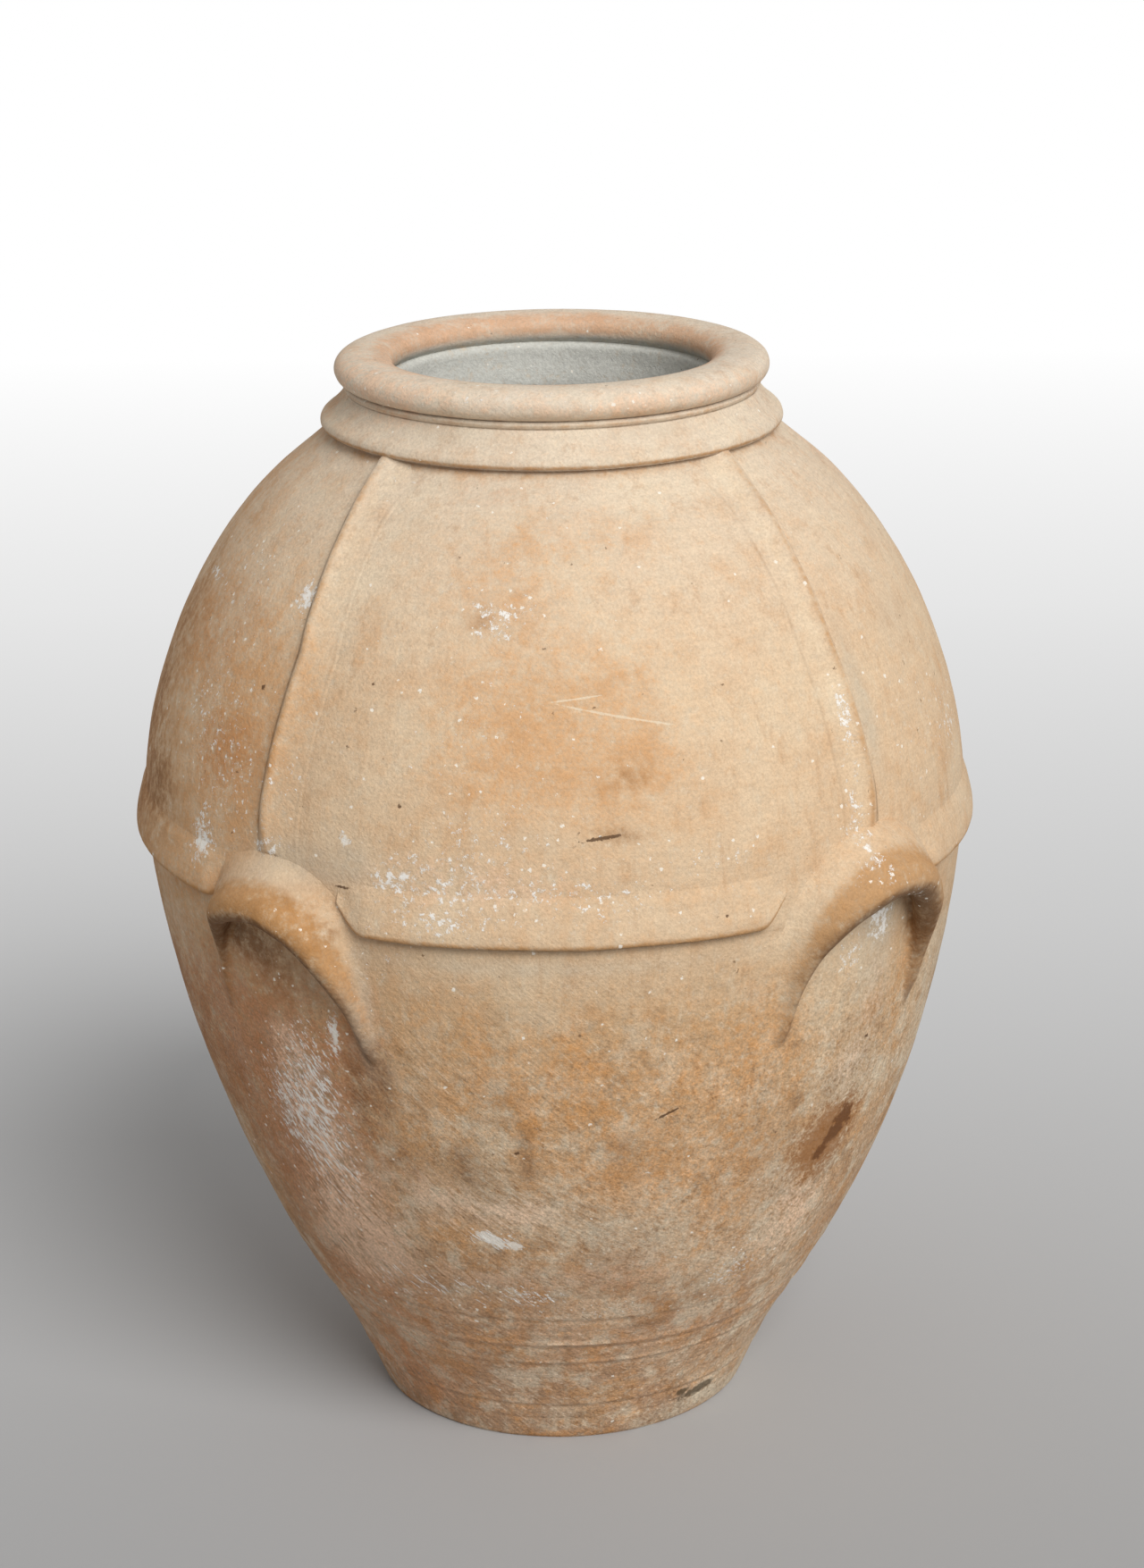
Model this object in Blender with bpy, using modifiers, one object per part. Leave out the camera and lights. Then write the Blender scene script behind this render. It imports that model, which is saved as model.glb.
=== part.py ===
"""A large terracotta storage jar with four lug handles, modelled as the potter builds it.

The body is a slab and five lifts of wall, then a neck ring with a flared collar and a rolled rim. A belt
covers the joint of the lifts at the belly, ribs run up the shoulder, and each handle is a bent coil with a
web of clay pressed in above it. Units are metres, +Z is up, and the origin is the middle of the underside.
"""

import math

import bpy
from mathutils import Vector
from mathutils.geometry import interpolate_bezier

NAME = "terracotta_jar"

# Outside of the body: radius and height of the places where its curve is set
BASE_RADIUS = 0.168
FOOT_RADIUS = 0.2306
FOOT_HEIGHT = 0.124
BELLY_RADIUS = 0.3634
BELLY_HEIGHT = 0.575
SHOULDER_RADIUS = 0.1852
SHOULDER_HEIGHT = 0.895

# How far the outside runs out for each metre of rise, at those places
BASE_LEAN_SHARE = 0.433
FOOT_LEAN_SHARE = 0.609
SHOULDER_LEAN_SHARE = -1.914

# Pull of the curve at each end of a lift, as a share of the lift's rise
FOOT_PULL_SHARES = (0.445, 0.435)
LOWER_PULL_SHARES = (0.318, 0.255)
UPPER_PULL_SHARES = (0.323, 0.186)

# Thickness of the clay
SLAB_THICKNESS = 0.036
FOOT_WALL = 0.031
BODY_WALL = 0.027
SLAB_CHAMFER = 0.003

# Neck ring with its flared collar, and the cove under the collar's edge
NECK_HEIGHT = 0.043
NECK_TOP_RADIUS = 0.1765
NECK_WALL = 0.0375
COLLAR_FLARE = 0.0235
COLLAR_DROP = 0.034
COLLAR_EDGE = 0.0042
COVE_REACH = 0.019
COVE_DEPTH = 0.0035

# Rolled rim: an oval roll, cut flat where it sits on the neck
RIM_OVERHANG = 0.0115
RIM_WIDTH = 0.051
RIM_DEPTH = 0.03
RIM_FLAT = 0.004

# Belt over the joint at the belly
BELT_BELOW_BELLY = 0.027
BELT_HEIGHT = 0.044
BELT_STAND = 0.0092
BELT_ROOT = 0.012

# Where a stretch of the belt ends in a web, as a share of half the handle's span
BELT_END_SHARE = 0.8

# Ribs up the shoulder. Each starts in a web, so far above the middle of its crown
RIB_START = 0.0095
RIB_WIDTH = 0.042
RIB_STAND = 0.0085
RIB_ROOT = 0.008

# Handles: a bent coil, and the web of clay pressed in above it
HANDLE_FRONT_SPREAD_DEG = 85.4
HANDLE_FIRST_DEG = -2.0
HANDLE_BELOW_BELT = 0.093
HANDLE_RISE = 0.1155
HANDLE_HALF_SPANS = (0.084, 0.077, 0.077, 0.07)
HANDLE_STAND = 0.0255
HANDLE_THICKNESS = 0.032
WEB_LIFT = 0.012
WEB_STAND = 0.006
WEB_THICKNESS = 0.027

# Gap between neighbouring pieces, and how far a cutter runs past what it cuts
CLEARANCE = 0.0003
OVERRUN = 0.02

# Half of the handle's arch, from its crown to the tip of a leg: sideways, up, out from the wall, thickness
ARCH_SHARES = (
    (0.0, 1.0, 1.0, 1.0),
    (0.38, 0.945, 0.97, 1.0),
    (0.68, 0.76, 0.82, 0.93),
    (0.88, 0.47, 0.52, 0.77),
    (0.98, 0.16, 0.16, 0.6),
    (1.0, -0.27, -0.38, 0.42),
)
# The web follows the crown of the arch only
WEB_SHARES = (
    (0.0, 1.0, 1.0, 1.0),
    (0.38, 0.95, 1.0, 1.0),
    (0.7, 0.75, 0.85, 0.86),
    (0.9, 0.45, 0.2, 0.6),
)
# Section of the belt: out, as a share of its stand, and up, as a share of its height
BELT_SECTION_SHARES = ((0.9, 0.0), (1.0, 0.1), (0.72, 0.42), (0.3, 0.74), (-0.12, 1.0))
# Half section of a rib: sideways, as a share of half its width, and out, as a share of its stand
RIB_SECTION_SHARES = ((0.1, 1.0), (0.42, 0.48), (1.0, -0.22))

# Sizes and heights that follow from the ones above
NECK_BORE_RADIUS = NECK_TOP_RADIUS - NECK_WALL
COLLAR_RADIUS = NECK_TOP_RADIUS + COLLAR_FLARE
RIM_RADIUS = NECK_TOP_RADIUS + RIM_OVERHANG
BELT_BOTTOM = BELLY_HEIGHT - BELT_BELOW_BELLY
HANDLE_FOOT_HEIGHT = BELT_BOTTOM - HANDLE_BELOW_BELT
RIB_BOTTOM = HANDLE_FOOT_HEIGHT + HANDLE_RISE + WEB_LIFT + RIB_START

TURN_STEPS = 48
CURVE_STEPS = 8
RIM_STEPS = 14
BELT_STEPS = 10
RIB_STEPS = 8
COIL_STEPS = 3
COIL_ROUNDNESS = 3
WELD = 0.00001

LIFT_NAMES = ("lower_wall", "belly_wall", "upper_wall", "shoulder_wall")
HANDLE_NAMES = ("front_right", "back_right", "back_left", "front_left")
BELT_NAMES = ("right", "back", "left", "front")

CLAY_CREAM = (0.70, 0.53, 0.33)
CLAY_OCHRE = (0.60, 0.36, 0.16)
CLAY_PALE = (0.74, 0.58, 0.39)
CLAY_BROWN = (0.52, 0.34, 0.20)


def start_scene():
    """Empties the scene and returns a collection for the jar and one for its cutters."""
    for thing in list(bpy.data.objects):
        bpy.data.objects.remove(thing)
    folders = []
    for name in (NAME, "cutters"):
        folder = bpy.data.collections.new(name)
        bpy.context.scene.collection.children.link(folder)
        folders.append(folder)
    return folders


def clay(name, colour, roughness):
    """A fired clay of one colour, matt and without metal."""
    material = bpy.data.materials.new(name)
    material.use_nodes = True
    shader = material.node_tree.nodes["Principled BSDF"]
    shader.inputs["Base Color"].default_value = (*colour, 1.0)
    shader.inputs["Roughness"].default_value = roughness
    shader.inputs["Metallic"].default_value = 0.0
    return material


def lift_curve(low, high, leans, pull_shares):
    """The outside of one lift of wall, as points of radius and height from the bottom to the top."""
    rise = high[1] - low[1]
    pull_low, pull_high = pull_shares[0] * rise, pull_shares[1] * rise
    near = (low[0] + leans[0] * pull_low, low[1] + pull_low)
    far = (high[0] - leans[1] * pull_high, high[1] - pull_high)
    corners = [Vector((*point, 0.0)) for point in (low, near, far, high)]
    return [point.xy.copy() for point in interpolate_bezier(*corners, CURVE_STEPS + 1)]


def halves(line, leans):
    """A long stretch of wall as two lifts: each one's line, and the leans at its ends."""
    middle = len(line) // 2
    chord = line[middle + 1] - line[middle - 1]
    lean = chord.x / chord.y
    return (line[: middle + 1], (leans[0], lean)), (line[middle:], (lean, leans[1]))


def tangent(lean):
    """The direction in which an outline with this lean climbs."""
    return Vector((lean, 1.0)).normalized()


def trimmed(outline, leans, gap):
    """The outline with both its ends drawn in along it by the gap."""
    low = outline[0] + tangent(leans[0]) * gap
    high = outline[-1] - tangent(leans[1]) * gap
    return [low, *outline[1:-1], high]


def inside_of(outline, leans, thickness):
    """The outline moved square to itself towards the inside of the jar."""
    chords = [(after - before).normalized() for before, after in zip(outline, outline[2:])]
    along = [tangent(leans[0]), *chords, tangent(leans[1])]
    return [point + Vector((-way.y, way.x)) * thickness for point, way in zip(outline, along)]


def radius_at(outline, height):
    """The radius of an outline at a height, read along its straight stretches."""
    for low, high in zip(outline, outline[1:]):
        if low.y <= height <= high.y:
            return low.x + (high.x - low.x) * (height - low.y) / (high.y - low.y)
    return outline[0].x if height < outline[0].y else outline[-1].x


def turned(name, profile, folder, material=None, ring=True):
    """A piece turned about the jar's axis. Its profile runs down the outside and up the inside."""
    mesh = bpy.data.meshes.new(name)
    count = len(profile)
    edges = [(index, index + 1) for index in range(count - 1)]
    if ring:
        edges.append((count - 1, 0))
    mesh.from_pydata([(point[0], 0.0, point[1]) for point in profile], edges, [])
    piece = bpy.data.objects.new(name, mesh)
    folder.objects.link(piece)
    screw = piece.modifiers.new("turn", "SCREW")
    screw.axis = "Z"
    screw.steps = TURN_STEPS
    screw.render_steps = TURN_STEPS
    screw.use_merge_vertices = True
    screw.merge_threshold = WELD
    screw.use_smooth_shade = True
    if material:
        mesh.materials.append(material)
    return piece


def wall_profile(outline, leans):
    """A plain lift's profile: down its outside, then up its inside."""
    return list(reversed(outline)) + inside_of(outline, leans, BODY_WALL)


def foot_profile(outline, leans):
    """The foot's profile. Its underside is flat where it sits on the slab."""
    inner = inside_of(outline, leans, FOOT_WALL)
    lean = (inner[1].x - inner[0].x) / (inner[1].y - inner[0].y)
    heel = outline[0].y
    inner.insert(0, Vector((inner[0].x - lean * (inner[0].y - heel), heel)))
    return list(reversed(outline)) + inner


def slab_profile(outline):
    """Half of the slab, from the axis over its edge and back to the axis."""
    top = SLAB_THICKNESS
    edge = radius_at(outline, SLAB_CHAMFER)
    return [(0.0, top), (radius_at(outline, top), top), (edge, SLAB_CHAMFER), (edge - SLAB_CHAMFER, 0.0), (0.0, 0.0)]


def neck_seat():
    """The height of the flat seat between the upper wall and the neck ring."""
    return SHOULDER_HEIGHT + CLEARANCE


def shoulder_profile(outline, leans):
    """The top lift's profile. A flat seat for the neck ring closes it at the top."""
    inner = inside_of(outline, leans, BODY_WALL)
    lip = NECK_BORE_RADIUS + COLLAR_EDGE
    slope = (inner[-1].y - inner[-2].y) / (inner[-1].x - inner[-2].x)
    under_lip = inner[-1].y + slope * (lip - inner[-1].x)
    inner += [Vector((lip, under_lip)), Vector((lip, outline[-1].y))]
    return list(reversed(outline)) + inner


def cove(shoulder_line, leans):
    """Where the neck ring's cove meets the upper wall: its toe, lower down, and its heel at the seat."""
    off = inside_of(shoulder_line[-3:], leans, -CLEARANCE)[1] - shoulder_line[-2]
    heel = shoulder_line[-1] + off
    toe = heel + (shoulder_line[-2] - shoulder_line[-1]).normalized() * COVE_REACH
    return toe, heel


def neck_profile(shoulder_line, leans):
    """The neck ring: down its flared outside to the edge, round the cove, and up its bore."""
    top = SHOULDER_HEIGHT + NECK_HEIGHT - CLEARANCE
    edge = top - COLLAR_DROP
    throat = COLLAR_RADIUS - COVE_DEPTH
    toe, heel = cove(shoulder_line, leans)
    return [
        (NECK_TOP_RADIUS, top),
        (NECK_TOP_RADIUS + COLLAR_FLARE / 12, top - COLLAR_DROP / 6),
        (NECK_TOP_RADIUS + COLLAR_FLARE / 4, top - COLLAR_DROP / 2.5),
        (NECK_TOP_RADIUS + COLLAR_FLARE / 1.8, top - COLLAR_DROP / 1.4),
        (COLLAR_RADIUS - COLLAR_EDGE / 4, edge),
        (COLLAR_RADIUS, edge - COLLAR_EDGE / 3),
        (COLLAR_RADIUS - COLLAR_EDGE / 4, edge - COLLAR_EDGE),
        (throat, edge - COLLAR_EDGE - COVE_DEPTH / 4),
        (throat + COVE_DEPTH / 2, (edge - COLLAR_EDGE + toe.y) / 2),
        (toe.x, toe.y),
        (heel.x, neck_seat()),
        (NECK_BORE_RADIUS + COLLAR_EDGE / 2, neck_seat()),
        (NECK_BORE_RADIUS, neck_seat() + COLLAR_EDGE),
        (NECK_BORE_RADIUS, top - COLLAR_EDGE),
        (NECK_BORE_RADIUS + COLLAR_EDGE / 3, top),
    ]


def collar_cutter_profile(shoulder_line, leans):
    """The space that the neck ring takes, with its clearance, for cutting the ribs to it."""
    toe, _ = cove(shoulder_line, leans)
    top = SHOULDER_HEIGHT + NECK_HEIGHT
    under = top - COLLAR_DROP - COLLAR_EDGE - 2 * CLEARANCE
    throat = COLLAR_RADIUS - COVE_DEPTH / 2 + CLEARANCE
    return [
        (0.0, top),
        (COLLAR_RADIUS + CLEARANCE, top),
        (COLLAR_RADIUS + CLEARANCE, under),
        (throat, under - COVE_DEPTH / 4),
        (throat, (under + toe.y) / 2),
        (toe.x + CLEARANCE, toe.y + CLEARANCE),
        (toe.x + CLEARANCE, toe.y - OVERRUN),
        (0.0, toe.y - OVERRUN),
    ]


def rim_profile():
    """The rim's oval, from its flat underside over the outside and back, top to bottom on the outside."""
    half_width, half_depth = RIM_WIDTH / 2, RIM_DEPTH / 2
    middle = Vector((RIM_RADIUS - half_width, SHOULDER_HEIGHT + NECK_HEIGHT - RIM_FLAT + half_depth))
    start = math.acos((RIM_FLAT - half_depth) / half_depth)
    points = []
    for index in range(RIM_STEPS + 1):
        angle = -start + 2 * start * index / RIM_STEPS
        points.append((middle.x + math.sin(angle) * half_width, middle.y + math.cos(angle) * half_depth))
    return points


def on_wall(outline, azimuth, sideways, height, out):
    """A point beside an azimuth: so far sideways round the belly, at a height, and out from the wall."""
    angle = azimuth + sideways / BELLY_RADIUS
    radius = radius_at(outline, height) + out
    return Vector((radius * math.cos(angle), radius * math.sin(angle), height))


def mesh_of_curve(curve_object, name, folder):
    """A mesh object made from a curve, with the curve's caps welded on."""
    view = bpy.context.evaluated_depsgraph_get()
    mesh = bpy.data.meshes.new_from_object(curve_object.evaluated_get(view))
    mesh.name = name
    piece = bpy.data.objects.new(name, mesh)
    piece.matrix_world = curve_object.matrix_world
    folder.objects.link(piece)
    bpy.data.objects.remove(curve_object)
    weld = piece.modifiers.new("weld", "WELD")
    weld.merge_threshold = WELD
    return piece


def coil(name, stations, folder, grow=0.0):
    """A coil of clay along stations of place and thickness, thicker all over by grow."""
    data = bpy.data.curves.new(name, "CURVE")
    data.dimensions = "3D"
    data.resolution_u = COIL_STEPS
    data.bevel_resolution = COIL_ROUNDNESS
    data.bevel_depth = 1.0
    data.use_fill_caps = True
    spline = data.splines.new("BEZIER")
    spline.bezier_points.add(len(stations) - 1)
    for knot, (place, thickness) in zip(spline.bezier_points, stations):
        knot.co = place
        knot.radius = thickness / 2 + grow
        knot.handle_left_type = "AUTO"
        knot.handle_right_type = "AUTO"
    guide = bpy.data.objects.new(name + "_guide", data)
    folder.objects.link(guide)
    bpy.context.view_layer.update()
    return mesh_of_curve(guide, name, folder)


def strip(name, path, section, folder):
    """A strip of clay swept along a path. Its closed section is listed anticlockwise, and used clockwise
    so that the strip's faces point out."""
    outline = bpy.data.curves.new(name + "_section", "CURVE")
    outline.dimensions = "2D"
    flat = outline.splines.new("POLY")
    flat.points.add(len(section) - 1)
    for point, (across, out) in zip(flat.points, reversed(section)):
        point.co = (across, out, 0.0, 1.0)
    flat.use_cyclic_u = True
    section_object = bpy.data.objects.new(name + "_section", outline)
    folder.objects.link(section_object)
    data = bpy.data.curves.new(name, "CURVE")
    data.dimensions = "3D"
    data.twist_mode = "Z_UP"
    data.bevel_mode = "OBJECT"
    data.bevel_object = section_object
    data.use_fill_caps = True
    spline = data.splines.new("POLY")
    spline.points.add(len(path) - 1)
    for point, place in zip(spline.points, path):
        point.co = (*place, 1.0)
    guide = bpy.data.objects.new(name + "_guide", data)
    folder.objects.link(guide)
    bpy.context.view_layer.update()
    piece = mesh_of_curve(guide, name, folder)
    bpy.data.objects.remove(section_object)
    return piece


def cut(piece, *cutters):
    """Cuts each cutter away from a piece."""
    for cutter in cutters:
        boolean = piece.modifiers.new("cut by " + cutter.name, "BOOLEAN")
        boolean.operation = "DIFFERENCE"
        boolean.solver = "EXACT"
        boolean.object = cutter


def finish(piece, material):
    """Gives a piece its clay and shades it smooth."""
    piece.data.materials.clear()
    piece.data.materials.append(material)
    piece.data.shade_smooth()


def mirrored(stations):
    """Stations of half an arch, continued over the crown to the other leg."""
    other = [(-side, up, out, thick) for side, up, out, thick in reversed(stations[1:])]
    return other + list(stations)


def arch(outline, azimuth, shares, half_span, rise, stand, thickness):
    """Stations of a coil that arches over the belly at an azimuth, from shares of its sizes."""
    stations = []
    for side, up, out, thick in mirrored(shares):
        height = HANDLE_FOOT_HEIGHT + up * rise
        place = on_wall(outline, azimuth, side * half_span, height, out * stand)
        stations.append((place, thick * thickness))
    return stations


def handle_azimuths():
    """The handles' angles about the axis. The front two are closer together than the others."""
    first = HANDLE_FIRST_DEG
    last = first - HANDLE_FRONT_SPREAD_DEG
    step = (360.0 - HANDLE_FRONT_SPREAD_DEG) / 3
    return [math.radians(angle) for angle in (first, first + step, first + 2 * step, last + 360.0)]


def rib_strip(name, outside, azimuth, folder):
    """A rib: a ridge of clay from the web of a handle up the shoulder to the collar, not yet cut to them."""
    rise = SHOULDER_HEIGHT - RIB_BOTTOM
    quarter = math.pi / 2
    heights = [RIB_BOTTOM + rise * math.sin(quarter * step / RIB_STEPS) for step in range(RIB_STEPS + 1)]
    path = [on_wall(outside, azimuth, 0.0, height, 0.0) for height in heights]
    half = [(side * RIB_WIDTH / 2, out * RIB_STAND) for side, out in RIB_SECTION_SHARES]
    section = [(RIB_WIDTH / 2, -RIB_ROOT), *reversed(half)]
    section += [(-side, out) for side, out in half] + [(-RIB_WIDTH / 2, -RIB_ROOT)]
    return strip(name, path, section, folder)


def belt_strip(name, outside, start, end, folder):
    """One stretch of the belt between two angles, not yet cut to the wall and the handles."""
    angles = [start + (end - start) * step / BELT_STEPS for step in range(BELT_STEPS + 1)]
    path = [on_wall(outside, angle, 0.0, BELT_BOTTOM, 0.0) for angle in angles]
    section = [(out * BELT_STAND, up * BELT_HEIGHT) for out, up in BELT_SECTION_SHARES]
    section = [(-BELT_ROOT, 0.0), *section, (-BELT_ROOT, BELT_HEIGHT)]
    return strip(name, path, section, folder)


def build():
    """Makes every piece of the jar."""
    jar, cutters = start_scene()
    cream = clay("cream_terracotta", CLAY_CREAM, 0.9)
    ochre = clay("ochre_terracotta", CLAY_OCHRE, 0.88)
    pale = clay("pale_terracotta", CLAY_PALE, 0.9)
    brown = clay("brown_terracotta", CLAY_BROWN, 0.92)

    base, foot = (BASE_RADIUS, 0.0), (FOOT_RADIUS, FOOT_HEIGHT)
    belly, shoulder = (BELLY_RADIUS, BELLY_HEIGHT), (SHOULDER_RADIUS, SHOULDER_HEIGHT)
    foot_leans = (BASE_LEAN_SHARE, FOOT_LEAN_SHARE)
    lower_leans = (FOOT_LEAN_SHARE, 0.0)
    upper_leans = (0.0, SHOULDER_LEAN_SHARE)
    foot_line = lift_curve(base, foot, foot_leans, FOOT_PULL_SHARES)
    lower_line = lift_curve(foot, belly, lower_leans, LOWER_PULL_SHARES)
    upper_line = lift_curve(belly, shoulder, upper_leans, UPPER_PULL_SHARES)
    outside = foot_line + lower_line[1:] + upper_line[1:]

    half_gap = CLEARANCE / 2
    heel = SLAB_THICKNESS + half_gap
    on_slab = [Vector((radius_at(foot_line, heel), heel))] + [p for p in foot_line if p.y > heel + FOOT_WALL / 4]
    turned("base_slab", slab_profile(foot_line), jar, brown, ring=False)
    turned("foot_wall", foot_profile(trimmed(on_slab, foot_leans, half_gap), foot_leans), jar, brown)
    lifts = halves(lower_line, lower_leans) + halves(upper_line, upper_leans)
    for name, (line, leans) in zip(LIFT_NAMES, lifts):
        profile = shoulder_profile if name == LIFT_NAMES[-1] else wall_profile
        turned(name, profile(trimmed(line, leans, half_gap), leans), jar, cream)
    turned("neck_collar", neck_profile(upper_line, upper_leans), jar, pale)
    turned("rim_roll", rim_profile(), jar, pale)

    grown = inside_of(outside, (BASE_LEAN_SHARE, SHOULDER_LEAN_SHARE), -CLEARANCE)
    core_profile = [(0.0, grown[-1].y), *reversed(grown), (0.0, grown[0].y)]
    core = turned("cutter_wall", core_profile, cutters, ring=False)
    collar_space = collar_cutter_profile(upper_line, upper_leans)
    collar = turned("cutter_collar", collar_space, cutters, ring=False)

    azimuths = handle_azimuths()
    cutter_pairs = []
    for name, azimuth, half_span in zip(HANDLE_NAMES, azimuths, HANDLE_HALF_SPANS):
        coil_sizes = (half_span, HANDLE_RISE, HANDLE_STAND, HANDLE_THICKNESS)
        stations = arch(outside, azimuth, ARCH_SHARES, *coil_sizes)
        handle = coil("handle_" + name, stations, jar)
        handle_cutter = coil("cutter_handle_" + name, stations, cutters, CLEARANCE)
        cut(handle, core)
        finish(handle, ochre)

        web_sizes = (half_span + WEB_LIFT, HANDLE_RISE + WEB_LIFT, WEB_STAND, WEB_THICKNESS)
        stations = arch(outside, azimuth, WEB_SHARES, *web_sizes)
        web = coil("web_" + name, stations, jar)
        web_cutter = coil("cutter_web_" + name, stations, cutters, CLEARANCE)
        cut(web, core, handle_cutter)
        finish(web, cream)

        rib = rib_strip("rib_" + name, outside, azimuth, jar)
        cut(rib, core, collar, web_cutter)
        finish(rib, cream)
        cutter_pairs.append((handle_cutter, web_cutter))

    for index, name in enumerate(BELT_NAMES):
        after = (index + 1) % len(BELT_NAMES)
        start = azimuths[index] + BELT_END_SHARE * HANDLE_HALF_SPANS[index] / BELLY_RADIUS
        end = azimuths[after] - BELT_END_SHARE * HANDLE_HALF_SPANS[after] / BELLY_RADIUS
        if end < start:
            end += 2 * math.pi
        belt = belt_strip("belt_" + name, outside, start, end, jar)
        cut(belt, core, *cutter_pairs[index], *cutter_pairs[after])
        finish(belt, cream)

    for cutter in cutters.objects:
        cutter.hide_render = True
        cutter.display_type = "WIRE"


build()
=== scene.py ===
# %% [markdown]
# # A large terracotta storage jar with four lug handles
# This lesson dresses the plain solids of the jar. The real one was built by hand from coils of coarse clay,
# smoothed on a slow wheel and fired without a glaze, and it stood outside for long enough to gather lime,
# soil and scrapes. The solids are the fixed frame: they give every piece its size and its place, and each
# new mesh here stands for one or more of them.

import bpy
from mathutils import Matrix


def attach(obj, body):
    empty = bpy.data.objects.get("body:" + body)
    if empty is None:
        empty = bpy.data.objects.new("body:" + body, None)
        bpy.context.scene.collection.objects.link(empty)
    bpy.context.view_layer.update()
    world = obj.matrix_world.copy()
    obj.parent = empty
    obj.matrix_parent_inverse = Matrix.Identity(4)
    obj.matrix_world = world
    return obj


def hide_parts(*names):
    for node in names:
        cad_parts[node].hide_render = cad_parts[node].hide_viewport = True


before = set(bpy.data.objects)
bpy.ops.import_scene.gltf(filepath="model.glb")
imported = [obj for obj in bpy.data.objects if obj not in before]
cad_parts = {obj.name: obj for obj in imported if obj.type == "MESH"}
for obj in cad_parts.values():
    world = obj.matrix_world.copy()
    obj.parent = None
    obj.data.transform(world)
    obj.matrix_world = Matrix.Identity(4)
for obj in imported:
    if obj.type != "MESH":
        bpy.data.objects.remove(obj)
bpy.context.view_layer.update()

# %% [markdown]
# ## The camera
# The photograph was taken from a little over three metres, from a bit above the rim, with a longish lens.
# A camera is placed by a matrix, so that its turn about the jar, its dip and its slight roll are each one
# named angle. The photographed side lies between two handles, so the camera is turned about the jar to it.

# %% Place the camera
import math
import random

import bpy
import numpy as np
from mathutils import Matrix, Vector, noise
from mathutils.geometry import interpolate_bezier

MM = 0.001
VIEW_TURN_DEG = 42.3
VIEW_DIP_DEG = 18.55
VIEW_ROLL_DEG = -0.71
VIEW_FROM = Vector((0.0152, -3.034, 1.583))
LENS_MM = 82.05
SENSOR_MM = 36.0

view_turn = Matrix.Rotation(math.radians(VIEW_TURN_DEG), 4, "Z")
view_right = (view_turn @ Vector((1.0, 0.0, 0.0))).xyz
camera = bpy.data.objects.new("camera", bpy.data.cameras.new("camera"))
camera.data.lens = LENS_MM
camera.data.sensor_width = SENSOR_MM
camera.matrix_world = (
    Matrix.Translation(view_turn @ VIEW_FROM)
    @ view_turn
    @ Matrix.Rotation(math.radians(90.0 - VIEW_DIP_DEG), 4, "X")
    @ Matrix.Rotation(math.radians(VIEW_ROLL_DEG), 4, "Z")
)
bpy.context.scene.collection.objects.link(camera)
bpy.context.scene.camera = camera
print("camera at", [round(value, 3) for value in camera.matrix_world.translation])

# %% [markdown]
# ## The outline of the wall
# Everything on a jar follows its wall, so the outline comes first: three smooth stretches, from the base to
# the foot line, from there to the belly and from the belly to the neck. They are the curves that the solids
# were turned from, only finer. Two small functions then answer where the wall is at a height, and which way
# it faces there.

# %% Read the wall from its named sizes
BASE_RADIUS = 0.168
FOOT_RADIUS = 0.2306
FOOT_HEIGHT = 0.124
BELLY_RADIUS = 0.3634
BELLY_HEIGHT = 0.575
SHOULDER_RADIUS = 0.1852
SHOULDER_HEIGHT = 0.895
# How far the outline goes out for each metre up, where its stretches end
BASE_LEAN_SHARE = 0.433
FOOT_LEAN_SHARE = 0.609
SHOULDER_LEAN_SHARE = -1.914
# How far the two handles of a stretch's curve reach, as shares of its rise
FOOT_PULL_SHARES = (0.445, 0.435)
LOWER_PULL_SHARES = (0.318, 0.255)
UPPER_PULL_SHARES = (0.323, 0.186)
OUTLINE_STEPS = 80


def stretch(low, high, leans, pull_shares):
    """One smooth stretch of the outline, as points of radius and height from its bottom to its top."""
    rise = high[1] - low[1]
    pulls = [share * rise for share in pull_shares]
    near = (low[0] + leans[0] * pulls[0], low[1] + pulls[0])
    far = (high[0] - leans[1] * pulls[1], high[1] - pulls[1])
    corners = [Vector((*point, 0.0)) for point in (low, near, far, high)]
    return [point.xy for point in interpolate_bezier(*corners, OUTLINE_STEPS)]


base, foot = (BASE_RADIUS, 0.0), (FOOT_RADIUS, FOOT_HEIGHT)
belly, shoulder = (BELLY_RADIUS, BELLY_HEIGHT), (SHOULDER_RADIUS, SHOULDER_HEIGHT)
outline = stretch(base, foot, (BASE_LEAN_SHARE, FOOT_LEAN_SHARE), FOOT_PULL_SHARES)
outline += stretch(foot, belly, (FOOT_LEAN_SHARE, 0.0), LOWER_PULL_SHARES)[1:]
outline += stretch(belly, shoulder, (0.0, SHOULDER_LEAN_SHARE), UPPER_PULL_SHARES)[1:]
outline_radii = np.array([point.x for point in outline])
outline_heights = np.array([point.y for point in outline])
outline_leans = np.gradient(outline_radii, outline_heights)


def wall_radius(height):
    """The outer radius of the wall at a height, or at many. Above the shoulder it runs on straight."""
    over = np.maximum(np.asarray(height) - SHOULDER_HEIGHT, 0.0)
    return np.interp(height, outline_heights, outline_radii) + over * SHOULDER_LEAN_SHARE


def wall_facing(height):
    """How far the wall faces outwards and upwards at a height, as two parts of a unit direction."""
    lean = np.interp(height, outline_heights, outline_leans)
    length = np.sqrt(1.0 + lean * lean)
    return 1.0 / length, -lean / length


print("wall at the belly:", round(float(wall_radius(BELLY_HEIGHT)), 4), "m from the axis")

# %% [markdown]
# ## Hand-built clay is never true
# A jar raised from coils sways and swells by a few millimetres, and its foot carries lines from the potter's
# fingers on the slow wheel. If each piece had its own unevenness, seams would open between them. So there is
# one field of offsets in space, and every finished mesh is settled into it, so that neighbouring pieces move
# together.

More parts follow.
